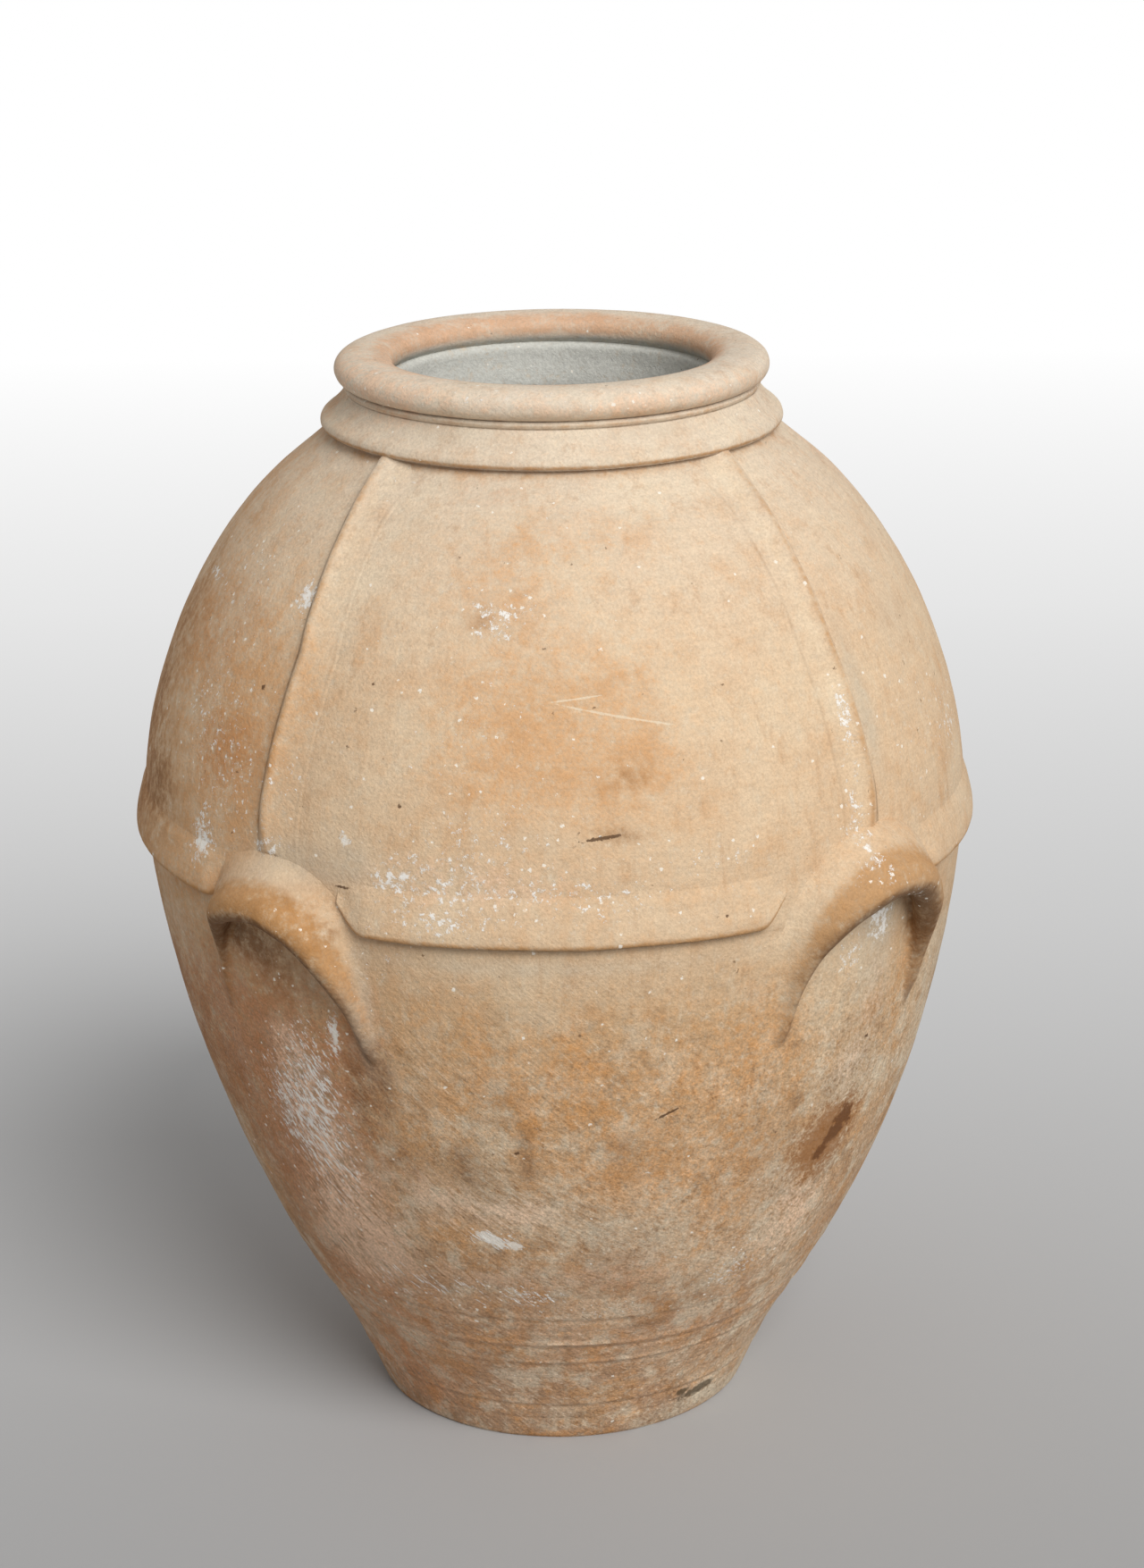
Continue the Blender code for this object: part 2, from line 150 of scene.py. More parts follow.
# %% One field of unevenness for all the pieces
# Swells, dents and smears: size in metres, seed of the noise and how far they stand out
SWELLS = ((0.21, 3.1, 1.5 * MM), (0.062, 17.3, 0.5 * MM), (0.022, 41.9, 0.22 * MM))
# Turned lines: height, how proud, half width. A groove has a negative proud.
TURNED_LINES = (
    (0.127, 1.5 * MM, 2.0 * MM),
    (0.1195, -0.8 * MM, 2.2 * MM),
    (0.102, 0.9 * MM, 1.6 * MM),
    (0.0965, -0.5 * MM, 1.8 * MM),
    (0.157, -0.9 * MM, 1.3 * MM),
    (0.162, 0.5 * MM, 2.0 * MM),
    (0.186, -0.6 * MM, 1.2 * MM),
    (0.143, -0.4 * MM, 1.2 * MM),
    (0.079, -0.4 * MM, 1.3 * MM),
    (0.046, 0.8 * MM, 2.0 * MM),
    (0.0405, -0.8 * MM, 1.8 * MM),
    (0.025, -0.6 * MM, 1.6 * MM),
)
# A turned line drifts up and down as it goes round, and is pressed more or less deeply
DRIFT_SIZE, DRIFT_SEED, DRIFT = 0.13, 7.7, 1.2 * MM
LINE_LEAST, LINE_MORE = 0.75, 0.5
# The jar's axis wanders: heights, and how far it has gone to the right in the photograph
SWAY_HEIGHTS = (0.0, 0.1, 0.22, 0.3, 0.45, 0.54, 0.75, 0.89, 0.964)
SWAY_MM = (0.0, 1.6, 3.0, 3.2, 1.8, 0.0, 0.2, 2.0, 2.4)
# Up to this height things move up and down less and less towards the floor, so that the foot stands level
FLAT_FOOT = 0.012
# Just under the shoulder's top, what stands square to the wall turns level over this height
TURN_TO_LEVEL = 0.014


def noise_at(places, size, seed):
    """Smooth noise from -1 to 1 at many places, with swellings of about the given size in metres."""
    moved = places / size + seed
    return np.array([noise.noise(place) for place in moved.tolist()])


def wandering(places, waves):
    """How far many places wander. A wave is its size in metres, its seed and how far it reaches."""
    return sum(noise_at(places, size, seed) * far for size, seed, far in waves)


def field_at(places):
    """How far every place moves, so that all the pieces share one unevenness."""
    height = places[:, 2]
    proud = wandering(places, SWELLS)
    drift = noise_at(places, DRIFT_SIZE, DRIFT_SEED)
    for line, rise, half_width in TURNED_LINES:
        off = (height - line - drift * DRIFT) / half_width
        proud += rise * np.exp(-off * off) * (LINE_LEAST + LINE_MORE * drift)
    out, up = wall_facing(np.minimum(height, SHOULDER_HEIGHT))
    level = np.clip((height - SHOULDER_HEIGHT + TURN_TO_LEVEL) / TURN_TO_LEVEL, 0.0, 1.0)
    up = up * (1.0 - level)
    out = out * (1.0 - level) + level
    flat = np.clip(height / FLAT_FOOT, 0.0, 1.0)
    radius = np.maximum(np.hypot(places[:, 0], places[:, 1]), MM)
    moved = np.empty_like(places)
    moved[:, 0] = places[:, 0] / radius * out * proud
    moved[:, 1] = places[:, 1] / radius * out * proud
    moved[:, 2] = up * proud * flat
    sway = np.interp(height, SWAY_HEIGHTS, SWAY_MM) * MM
    return moved + sway[:, None] * np.array(view_right)


sample = np.array([[0.36, 0.0, 0.5], [0.0, -0.36, 0.6]])
print("the field moves two places on the belly by", np.round(field_at(sample) / MM, 2), "mm")

# %% [markdown]
# ## Drawing and turning a profile
# A thrown or coiled body is a profile turned about an axis. The profile is drawn the way one would by hand:
# one vertex, extruded from place to place. A Screw modifier then turns it, the seam where the turn closes is
# merged, and the normals are made to point out.

# %% Draw a line by extruding, and turn it
SEED_SIZE = 1.0 * MM
WELD = 0.01 * MM


def only(piece):
    """Selects one object alone and makes it the active one."""
    bpy.ops.object.select_all(action="DESELECT")
    piece.select_set(True)
    bpy.context.view_layer.objects.active = piece


def drawn_line(name, places):
    """An open line of vertices, drawn by extruding one vertex from place to place."""
    bpy.ops.object.select_all(action="DESELECT")
    bpy.ops.mesh.primitive_circle_add(vertices=3, radius=SEED_SIZE, location=places[0])
    piece = bpy.context.object
    piece.name = piece.data.name = name
    bpy.ops.object.mode_set(mode="EDIT")
    bpy.ops.mesh.select_mode(type="VERT")
    bpy.ops.mesh.merge(type="CENTER")
    for here, there in zip(places, places[1:]):
        bpy.ops.mesh.extrude_vertices_move(TRANSFORM_OT_translate={"value": there - here})
    bpy.ops.object.mode_set(mode="OBJECT")
    bpy.ops.object.transform_apply(location=True, rotation=True, scale=True)
    return piece


def closed_up(piece):
    """Merges doubles and points the faces of a mesh outwards."""
    only(piece)
    bpy.ops.object.mode_set(mode="EDIT")
    bpy.ops.mesh.select_all(action="SELECT")
    bpy.ops.mesh.remove_doubles(threshold=WELD)
    bpy.ops.mesh.normals_make_consistent(inside=False)
    bpy.ops.object.mode_set(mode="OBJECT")
    return piece


def turned(name, profile, steps, angle=2 * math.pi, start=0.0):
    """A piece turned about the jar's axis from a closed profile of radius and height."""
    places = [Vector((r * math.cos(start), r * math.sin(start), z)) for r, z in profile]
    piece = drawn_line(name, places)
    turn = piece.modifiers.new("turn", "SCREW")
    turn.axis = "Z"
    turn.angle = angle
    turn.steps = turn.render_steps = steps
    turn.use_merge_vertices = angle == 2 * math.pi
    turn.merge_threshold = WELD
    bpy.ops.object.modifier_apply(modifier=turn.name)
    return closed_up(piece)


# %% [markdown]
# ## The slab and the lifts of wall
# The body is a slab and five rings of wall, each on the one below. Each ring's profile runs down its outside
# and back up its inside, square to the wall at both ends, so that the rings meet without a gap. The rows lie
# closer near the foot, where the turned lines have to show in the shape itself.

# %% Turn the slab and the five lifts
TURN_STEPS = 560
SLAB_THICKNESS = 0.036
FOOT_WALL = 0.031
BODY_WALL = 0.027
SLAB_CHAMFER = 0.003
NECK_BORE_RADIUS = 0.139
BORE_LIP = 0.0042
# Heights of a row of faces: where the turned lines are, above them, plain wall, and inside
FINE_ROW, LOWER_ROW, PLAIN_ROW, INNER_ROW = 1.4 * MM, 2.2 * MM, 3.6 * MM, 12.0 * MM


def rows(low, high, spacing):
    """Heights from low to high, about so far apart."""
    return np.linspace(low, high, max(2, round((high - low) / spacing) + 1))


def skin(heights, depth):
    """Points of radius and height that lie a depth under the wall's surface."""
    out, up = wall_facing(heights)
    return list(zip(wall_radius(heights) - out * depth, heights - up * depth))


def lift_profile(low, high, row, thickness, inner_end=None):
    """A lift's closed profile: down the outside, then up the inside."""
    outer = skin(rows(low, high, row)[::-1], 0.0)
    inner = skin(rows(low, high, INNER_ROW), thickness)
    if inner_end:
        inner = inner_end(inner)
    return outer + inner + outer[:1]


def flat_heel(inner):
    """The foot's inside, brought down to the slab's level top."""
    (near_r, near_z), (far_r, far_z) = inner[:2]
    lean = (far_r - near_r) / (far_z - near_z)
    return [(near_r - lean * (near_z - SLAB_THICKNESS), SLAB_THICKNESS)] + inner


def flat_seat(inner):
    """The top lift's inside, closed by a level seat for the neck."""
    lip = NECK_BORE_RADIUS + BORE_LIP
    inner = [point for point in inner if point[0] > lip]
    slope = (inner[-1][1] - inner[-2][1]) / (inner[-1][0] - inner[-2][0])
    return inner + [(lip, inner[-1][1] + slope * (lip - inner[-1][0])), (lip, SHOULDER_HEIGHT)]


LOWER_TOP = 0.3602
UPPER_TOP = 0.7514
# Name, the solid it stands for, from and to which height, row, wall, and how its inside ends
LIFTS = (
    ("foot_lift", "foot_wall", SLAB_THICKNESS, FOOT_HEIGHT, FINE_ROW, FOOT_WALL, flat_heel),
    ("lower_lift", "lower_wall", FOOT_HEIGHT, LOWER_TOP, LOWER_ROW, BODY_WALL, None),
    ("belly_lift", "belly_wall", LOWER_TOP, BELLY_HEIGHT, PLAIN_ROW, BODY_WALL, None),
    ("upper_lift", "upper_wall", BELLY_HEIGHT, UPPER_TOP, PLAIN_ROW, BODY_WALL, None),
    ("shoulder_lift", "shoulder_wall", UPPER_TOP, SHOULDER_HEIGHT, PLAIN_ROW, BODY_WALL, flat_seat),
)
clay_pieces = []
for name, node, low, high, row, thickness, inner_end in LIFTS:
    lift = turned(name, lift_profile(low, high, row, thickness, inner_end), TURN_STEPS)
    clay_pieces.append((lift, (node,)))
    print(name, "has", len(lift.data.polygons), "faces")

slab_edge = skin(rows(SLAB_CHAMFER, SLAB_THICKNESS, FINE_ROW)[::-1], 0.0)
slab_foot = [(slab_edge[-1][0] - SLAB_CHAMFER, 0.0), (0.0, 0.0)]
slab = turned("slab", [(0.0, SLAB_THICKNESS)] + slab_edge + slab_foot, TURN_STEPS)
clay_pieces.append((slab, ("base_slab",)))
print("slab has", len(slab.data.polygons), "faces")

# %% [markdown]
# ## The neck ring and the rolled rim
# The neck was turned on the finished shoulder: a small bead under the rim, a flare that runs out to the
# collar's rounded edge, and a cove under it that eases down on to the shoulder. The rim is a thick roll of
# clay laid on top. Its groove shows outside and inside, so it is a piece of its own.

# %% Turn the neck ring and the rim
RING_STEPS = 480
# Radius and height of the neck's outside, from the groove under the rim to the toe of the cove
NECK_OUTSIDE_MM = (
    (170.0, 941.0), (173.0, 938.6), (175.4, 937.2), (178.0, 936.0), (179.9, 934.5), (180.5, 932.6),
    (179.7, 930.9), (178.5, 929.7), (178.7, 928.4), (180.4, 926.4), (182.6, 923.6), (185.4, 920.2),
    (188.9, 916.6), (193.0, 913.0), (196.4, 910.4), (198.7, 908.0), (199.8, 905.4), (200.0, 903.2),
    (199.4, 901.5), (198.4, 900.7), (197.6, 900.2), (197.4, 899.5),
)
# The cove under the collar: heights of the wall, and how proud of it the cove stands
COVE_MM = (
    (893.5, 6.4), (891.5, 4.9), (888.9, 3.5), (885.6, 2.25), (882.2, 1.35), (878.6, 0.7), (875.0, 0.3),
    (871.0, 0.06), (867.0, -0.12), (863.0, -0.6),
)
COVE_ROOT_MM = (863.0, -5.0)
NECK_INSIDE_MM = (
    (183.0, 894.8), (143.0, 894.8), (140.2, 896.0), (139.0, 899.5), (138.8, 906.0), (139.2, 914.0),
    (139.6, 922.0), (139.2, 929.0), (139.4, 933.6), (141.5, 936.2), (146.0, 938.5), (158.0, 939.6),
)
RIM_MIDDLE_MM = (162.6, 947.9)
RIM_HALF_WIDTH_MM = 25.3
RIM_HALF_HEIGHT_MM = 14.3
RIM_STEPS = 88
# At 1 the rim's section would be an ellipse, and below that it is squarer
RIM_SQUARE = 0.9


def in_metres(points_mm):
    """Points of radius and height in millimetres, turned to metres."""
    return [(radius * MM, height * MM) for radius, height in points_mm]


def eased(points, steps):
    """A smooth line through points, with so many steps between each two of them."""
    padded = [points[0]] + list(points) + [points[-1]]
    line = []
    for before, here, there, after in zip(padded, padded[1:], padded[2:], padded[3:]):
        for step in range(steps):
            share = step / steps
            line.append(tuple(
                0.5 * (2 * b + (c - a) * share + (2 * a - 5 * b + 4 * c - d) * share**2
                       + (3 * b - a - 3 * c + d) * share**3)
                for a, b, c, d in zip(before, here, there, after)
            ))
    return line + [points[-1]]


def rim_profile():
    """The rim's oval, a little squarer than an ellipse, as a closed line."""
    line = []
    for step in range(RIM_STEPS):
        angle = 2 * math.pi * step / RIM_STEPS
        across, along = math.sin(angle), math.cos(angle)
        radius = RIM_MIDDLE_MM[0] + RIM_HALF_WIDTH_MM * math.copysign(abs(across) ** RIM_SQUARE, across)
        height = RIM_MIDDLE_MM[1] + RIM_HALF_HEIGHT_MM * math.copysign(abs(along) ** RIM_SQUARE, along)
        line.append((radius * MM, height * MM))
    return line + line[:1]


def proud_of_wall(points_mm):
    """Points of radius and height, from heights on the wall and how far each stands out there."""
    line = []
    for height_mm, proud_mm in points_mm:
        out, up = wall_facing(height_mm * MM)
        radius = float(wall_radius(height_mm * MM) + out * proud_mm * MM)
        line.append((radius, (height_mm + up * proud_mm) * MM))
    return line


neck_outside = eased(in_metres(NECK_OUTSIDE_MM) + proud_of_wall(COVE_MM), steps=3)
neck_inside = proud_of_wall((COVE_ROOT_MM,)) + eased(in_metres(NECK_INSIDE_MM), steps=2)
neck_ring = turned("neck_ring", neck_outside + neck_inside + neck_outside[:1], RING_STEPS)
rim_roll = turned("rolled_rim", rim_profile(), RING_STEPS)
clay_pieces += [(neck_ring, ("neck_collar",)), (rim_roll, ("rim_roll",))]
print("neck ring:", len(neck_ring.data.polygons), "faces, rim:", len(rim_roll.data.polygons))

# %% [markdown]
# ## Working on the vertices
# What a hand does to soft clay, such as a curl or a smear, is easiest to say for all the vertices of a mesh
# at once. These helpers read them, move them, and store numbers on them that the materials read later.

# %% Read and write a mesh's vertices
def places_of(piece):
    """The places of a mesh's vertices, as rows of x, y and z."""
    flat = np.empty(len(piece.data.vertices) * 3)
    piece.data.vertices.foreach_get("co", flat)
    return flat.reshape(-1, 3)


def put_places(piece, places):
    """Moves a mesh's vertices to the places given."""
    piece.data.vertices.foreach_set("co", places.ravel())
    piece.data.update()


def put_round(piece, azimuth, radius, height):
    """Moves a mesh's vertices to places given by azimuth, radius and height."""
    put_places(piece, np.stack((radius * np.cos(azimuth), radius * np.sin(azimuth), height), axis=1))


def add_number(piece, name, values):
    """Stores one number for each vertex, for a material to read."""
    kept = piece.data.attributes.new(name, "FLOAT", "POINT")
    kept.data.foreach_set("value", np.asarray(values, dtype=np.float32))


def banded(values, bands):
    """How strongly bands cover each value. A band is its middle, half width and strength."""
    return sum(strength * np.exp(-((values - middle) / half) ** 2) for middle, half, strength in bands)


print("vertices of the rim:", len(places_of(rim_roll)))

# %% [markdown]
# ## The belt
# The belt is a strap of clay pressed over the joint at the belly and trimmed with a straight stick, so it has
# one crisp lip below and fades out above. Its section is turned like the wall, but only from handle to
# handle. Near each end the lip curls up and the strap thins out under the web of the handle.

# %% Turn the belt's section between the handles
BELT_BOTTOM = 0.548
BELT_HEIGHT = 0.044
BELT_STEP = 2.6 * MM
# Up from the belt's lower edge, and out from the wall
BELT_SECTION_MM = (
    (50.0, -3.5), (46.0, -0.9), (43.0, 0.0), (40.0, 0.9), (37.0, 1.9), (34.0, 3.0), (30.0, 4.0),
    (25.0, 5.2), (20.0, 6.5), (15.0, 7.8), (11.0, 8.7), (8.0, 9.2), (5.5, 9.5), (3.6, 9.5), (2.2, 9.2),
    (1.1, 8.5), (0.4, 7.5), (0.0, 6.2), (0.0, 4.6), (-0.2, 3.0), (-0.8, 1.4), (-2.0, 0.2), (-4.0, -0.6),
    (-7.0, -3.5),
)
BELT_ROOT_MM = ((-5.0, -5.0), (48.0, -5.0))
# Near its ends: over what length the lip curls up, and how steeply, and over what length the strap thins
BELT_CURL, BELT_CURL_POWER = 0.023, 1.7
BELT_FADE = 0.030
BELT_THIN_FROM, BELT_THIN_OVER = 0.026, 0.018
# The rubbed band above the belt's edge, on what stands out as its face, and the painted shade in the crease
# under that edge
BELT_RUBBED, BELT_PAINTED_SHADE = ((1.5 * MM, 3.6 * MM, 0.95),), 0.55
BELT_FACE, BELT_EDGE = 6.0 * MM, 1.0 * MM
# The lip wanders: its height, and size, seed and reach of the noise up and outwards
LIP_HEIGHT = 9.0 * MM
LIP_UP = ((0.05, 5.5, 0.9 * MM), (0.009, 8.1, 0.4 * MM))
LIP_OUT = ((0.012, 9.4, 0.35 * MM),)
# An angle that keeps a belt's first end from being counted as a whole turn away
BELT_SLACK = 0.05
# Each belt's two ends: the azimuth, and how much of its thickness is left there, as a share
BELT_END_SHARES = {
    "right": ((8.8, 0.3), (81.4, 0.3)), "back": ((97.8, 0.4), (173.0, 0.3)),
    "left": ((189.2, 0.35), (264.4, 0.1)), "front": ((283.4, 0.3), (343.2, 0.3)),
}


def belt_place(up_mm, out_mm):
    """A point of the belt's section, as radius and height."""
    height = BELT_BOTTOM + up_mm * MM
    return float(wall_radius(height)) + out_mm * MM, height


def curl_ends(piece, first, last, first_share, last_share):
    """Curls the belt's lip up at both ends and thins the strap out there."""
    places = places_of(piece)
    azimuth = np.arctan2(places[:, 1], places[:, 0])
    azimuth = first + np.mod(azimuth - first + BELT_SLACK, 2 * math.pi) - BELT_SLACK
    to_first, to_last = (azimuth - first) * BELLY_RADIUS, (last - azimuth) * BELLY_RADIUS
    to_end = np.minimum(to_first, to_last)
    left = np.where(to_first < to_last, first_share, last_share)
    short = np.clip(1.0 - to_end / BELT_CURL, 0.0, 1.0)
    rise = BELT_CURL * short**BELT_CURL_POWER
    up = places[:, 2] - BELT_BOTTOM
    proud = np.hypot(places[:, 0], places[:, 1]) - wall_radius(places[:, 2])
    add_number(piece, "rubbed", banded(up, BELT_RUBBED) * (proud > BELT_FACE))
    # Painted shade: a dark band in the crease under the lip
    add_number(piece, "painted_shade", (up < BELT_EDGE) * (proud < BELT_FACE) * BELT_PAINTED_SHADE)
    height = BELT_BOTTOM + up + rise * np.clip(1.0 - up / BELT_HEIGHT, 0.0, 1.0)
    left = left * np.clip((BELT_THIN_FROM - up) / BELT_THIN_OVER, 0.0, 1.0)
    fade = np.clip(to_end / BELT_FADE, 0.0, 1.0)
    fade = left + (1.0 - left) * fade * fade * (3 - 2 * fade)
    lip = np.clip(1.0 - np.abs(up) / LIP_HEIGHT, 0.0, 1.0)
    height += lip * wandering(places, LIP_UP)
    out = np.where(proud > 0, proud * fade, proud) + lip * wandering(places, LIP_OUT)
    put_round(piece, azimuth, wall_radius(height) + out, height)


belt_profile = [belt_place(*point) for point in eased(BELT_SECTION_MM, steps=2) + list(BELT_ROOT_MM)]
for name, ((first_deg, first_share), (last_deg, last_share)) in BELT_END_SHARES.items():
    first, last = math.radians(first_deg), math.radians(last_deg)
    steps = round((last - first) * BELLY_RADIUS / BELT_STEP)
    belt = turned("belt_strap_" + name, belt_profile + belt_profile[:1], steps, last - first, first)
    bpy.ops.object.mode_set(mode="EDIT")
    bpy.ops.mesh.select_all(action="SELECT")
    bpy.ops.mesh.fill_holes(sides=0)
    bpy.ops.object.mode_set(mode="OBJECT")
    curl_ends(belt, first, last, first_share, last_share)
    closed_up(belt)
    clay_pieces.append((belt, ("belt_" + name,)))
    print(belt.name, "has", len(belt.data.polygons), "faces")

# %% [markdown]
# ## The ribs
# Each rib is a thin coil that was laid up the shoulder and smeared away with a thumb on the side of the panel
# it frames. So its section is not even: a steep outer flank, a rounded crest and a long soft slope. It flares
# where it meets the collar and dies out in the web of the handle. A grid is given that section across and
# the line of the wall along, and Solidify gives it a body under the surface.

# %% Shape the four ribs from a grid
HANDLE_SIDES = ("front_right", "back_right", "back_left", "front_left")
RIB_LOW, RIB_HIGH = 0.588, 0.903
RIB_COLUMNS, RIB_ROWS = 44, 236
# Across towards the panel, and out from the wall
RIB_SECTION_MM = (
    (-17.0, -2.0), (-14.0, -0.6), (-12.0, 0.1), (-10.0, 0.9), (-7.5, 3.0), (-5.0, 5.8), (-3.0, 7.6),
    (-1.0, 8.4), (1.2, 8.1), (3.5, 7.0), (7.0, 5.3), (12.0, 3.8), (18.0, 2.5), (24.0, 1.5), (28.0, 0.95),
    (31.5, 0.4), (36.0, -0.6), (40.0, -2.0),
)
RIB_DEPTH = 4.0 * MM
# Layers of the finish that run along a rib: middle and half width across it in millimetres, and strength
# The crease bands are painted shade, down the steep outer flank and near the foot of the long slope
RIB_BANDS = {
    "rubbed": ((0.5, 3.2, 0.5),), "painted_shade": ((-9.5, 4.0, 0.42), (30.0, 2.2, 0.25)),
    "pale": ((13.0, 10.0, 0.35),),
}
# The crest swells and sinks along the rib, and under a thin end the grid sinks into the wall
RIB_WOBBLE_SHARES = ((0.028, 2.2, 0.16),)
RIB_THIN, RIB_THIN_ZERO, RIB_THIN_SINK = 0.3, 0.15, 6.0 * MM
# Up the rib: height, how proud and how wide it is as shares of the section
RIB_COURSE_SHARES = (
    (0.588, 0.0, 1.0), (0.605, 0.35, 1.0), (0.625, 0.8, 1.0), (0.66, 1.0, 1.0), (0.74, 1.0, 0.95),
    (0.82, 0.95, 0.9), (0.855, 0.95, 0.92), (0.868, 1.0, 0.98), (0.878, 1.12, 1.1), (0.886, 1.3, 1.4),
    (0.892, 1.42, 1.75), (0.903, 1.42, 2.0),
)
# The crest wanders: heights, and its azimuth for each rib
RIB_HEIGHTS = (0.6, 0.638, 0.76, 0.84, 0.881)
RIB_AZIMUTHS_DEG = {
    "front_right": (-1.6, -1.4, -2.5, -2.1, -1.2),
    "back_right": (89.8, 89.2, 88.6, 89.6, 90.4),
    "back_left": (181.4, 181.6, 182.4, 181.5, 180.4),
    "front_left": (-88.2, -88.5, -87.2, -89.4, -91.4),
}
PANEL_SIDES = {"front_right": -1.0, "back_right": 1.0, "back_left": -1.0, "front_left": 1.0}


def rib(name):
    """One rib, from a grid whose columns run across it and whose rows run up it."""
    bpy.ops.object.select_all(action="DESELECT")
    bpy.ops.mesh.primitive_grid_add(x_subdivisions=RIB_COLUMNS, y_subdivisions=RIB_ROWS, size=1.0)
    piece = bpy.context.object
    piece.name = piece.data.name = "rib_ridge_" + name
    places = places_of(piece)
    across_mm, out_mm = np.array(eased(RIB_SECTION_MM, steps=4)).T
    # The grid is one unit wide and high, with its middle at the origin
    column = np.linspace(0.0, 1.0, len(across_mm))
    across = np.interp(places[:, 0] + 0.5, column, across_mm) * MM
    out = np.interp(places[:, 0] + 0.5, column, out_mm) * MM
    ladder = np.linspace(RIB_LOW, RIB_HIGH, RIB_ROWS)
    arc = np.concatenate(([0.0], np.cumsum(np.hypot(np.diff(wall_radius(ladder)), np.diff(ladder)))))
    height = np.interp((places[:, 1] + 0.5) * arc[-1], arc, ladder)
    course = np.array(RIB_COURSE_SHARES).T
    proud = np.interp(height, course[0], course[1])
    wide = np.interp(height, course[0], course[2])
    flat = np.stack((across * wide, np.zeros_like(out), height), axis=1)
    for layer, bands in RIB_BANDS.items():
        add_number(piece, layer, banded(across / MM, bands))
    wobble = wandering(flat + PANEL_SIDES[name], RIB_WOBBLE_SHARES)
    out = np.where(out > 0, out * proud * (1.0 + wobble), out)
    thin = np.minimum(out, (proud - RIB_THIN_ZERO) * RIB_THIN_SINK)
    flat[:, 1] = np.where(proud < RIB_THIN, thin, out)
    crest = np.radians(np.interp(height, RIB_HEIGHTS, RIB_AZIMUTHS_DEG[name]))
    facing_out, facing_up = wall_facing(height)
    radius = wall_radius(height) + facing_out * flat[:, 1]
    angle = crest + flat[:, 0] * PANEL_SIDES[name] / wall_radius(height)
    put_round(piece, angle, radius, height + facing_up * flat[:, 1])
    only(piece)
    bpy.ops.object.mode_set(mode="EDIT")
    bpy.ops.mesh.select_all(action="SELECT")
    if PANEL_SIDES[name] < 0:
        bpy.ops.mesh.flip_normals()
    bpy.ops.object.mode_set(mode="OBJECT")
    body = piece.modifiers.new("body", "SOLIDIFY")
    body.thickness = RIB_DEPTH
    body.offset = -1.0
    bpy.ops.object.modifier_apply(modifier=body.name)
    return piece


for side in HANDLE_SIDES:
    ridge = rib(side)
    clay_pieces.append((ridge, ("rib_" + side,)))
    print(ridge.name, "has", len(ridge.data.polygons), "faces")

# %% [markdown]
# ## The lugs
# A lug is one thick coil bent into an arch, open below for the fingers, with softer clay pressed in above it
# and smeared out on to the wall. It is shaped on a bench, where x runs sideways, y runs out from the wall and
# z is the height. There, the coil and the pressed clay are curves with a round bevel that grow thinner
# towards the legs, and a thin pad under them stands for the wall. Voxel remesh fuses them all, and smoothing
# makes the fillets that a wet thumb leaves. A potter's four handles are alike but never the same: one leg may
# be thick and the next almost smeared away, so each lug gets its own span and legs.

# %% Bend the coils of a lug on the bench
LUG_FOOT_HEIGHT = 0.455
LUG_STAND = 0.0255
LUG_THICKNESS = 0.031
# Half an arch from the crown down a leg: sideways, up, out and thickness
LUG_ARCH_SHARES = (
    (0.0, 1.0, 1.0, 1.0), (0.2, 0.985, 1.0, 1.0), (0.4, 0.93, 0.97, 0.99), (0.57, 0.83, 0.9, 0.95),
    (0.71, 0.69, 0.78, 0.89), (0.82, 0.53, 0.6, 0.81), (0.9, 0.35, 0.4, 0.7), (0.955, 0.15, 0.17, 0.62),
    (0.985, -0.06, -0.02, 0.58), (1.0, -0.24, -0.22, 0.54), (1.0, -0.5, -0.5, 0.5),
)
# Four rolls of pressed clay: how far outside the coil's line, how far out from the wall, and thickness
PRESSED_CLAY = (
    (0.009, 0.0165, 0.030), (0.018, 0.009, 0.027), (0.027, 0.003, 0.021), (0.036, -0.0015, 0.014),
)
PRESSED_SINK = 0.009
LOWEST_PRESSED_SHARE = -0.1
# How far the rolls lean to the sides, and what is left of offset and thickness at the foot of the legs
PRESSED_LEAN, OFFSET_LEFT, THICKNESS_LEFT = 0.85, 0.4, 0.3
# A leg keeps its own thickness up to this share of the rise, and reaches the crown's so much higher
LEG_TO, LEG_OVER = 0.45, 0.5
# Lean to the side, then half span, how thick the legs are (the one at the lower azimuth, then the other),
# how high the arch rises, and how full the coil and the pressed clay are
LUG_SIZES = {
    "front_right": (0.02, 0.084, 0.55, 0.9, 0.1155, 1.0),
    "back_right": (-0.03, 0.078, 0.88, 0.75, 0.1150, 0.95),
    "back_left": (0.03, 0.076, 0.8, 1.0, 0.1155, 1.0),
    "front_left": (0.0, 0.079, 0.42, 1.0, 0.1080, 0.82),
}
COIL_STEPS, COIL_ROUNDNESS = 8, 8
# The pad that stands for the wall, with its face a little under the wall's surface
PAD_RADIUS, PAD_DEPTH, PAD_UNDER = 0.122, 8.0 * MM, 0.25 * MM
PAD_HEIGHT, PAD_SIDES = 0.487, 96
LUG_VOXEL = 1.9 * MM
# How many times the thumb smooths the whole lug and its web, and how far each time, as a share
LUG_SMOOTH_STEPS = 22
WEB_SMOOTH_STEPS = 110
THUMB_SHARE = 0.5
# The web is smoothed from a little inside the coil's surface, and more and more over this distance
WEB_SOFT_INSIDE, WEB_SOFT_OVER = 3.5 * MM, 9.0 * MM
# Rubbed from the coil's surface outwards over this distance, and between these heights more and more
COIL_FADE = 14.0 * MM
LUG_BARE_FROM, LUG_BARE_TO, LEGS_RUBBED = 0.44, 0.53, 0.25
# The underside, told by how little it faces up: less rubbed, and with painted shade on it
UNDER_LEVEL, UNDER_SLOPE, UNDER_SPARED, LUG_PAINTED_SHADE = 0.3, 1.3, 0.6, 0.75
# The coil wanders out and up: size, seed and reach of the noise
LUG_OUT, LUG_UP = ((0.03, 11.0, 1.3 * MM),), ((0.045, 23.0, 2.0 * MM),)


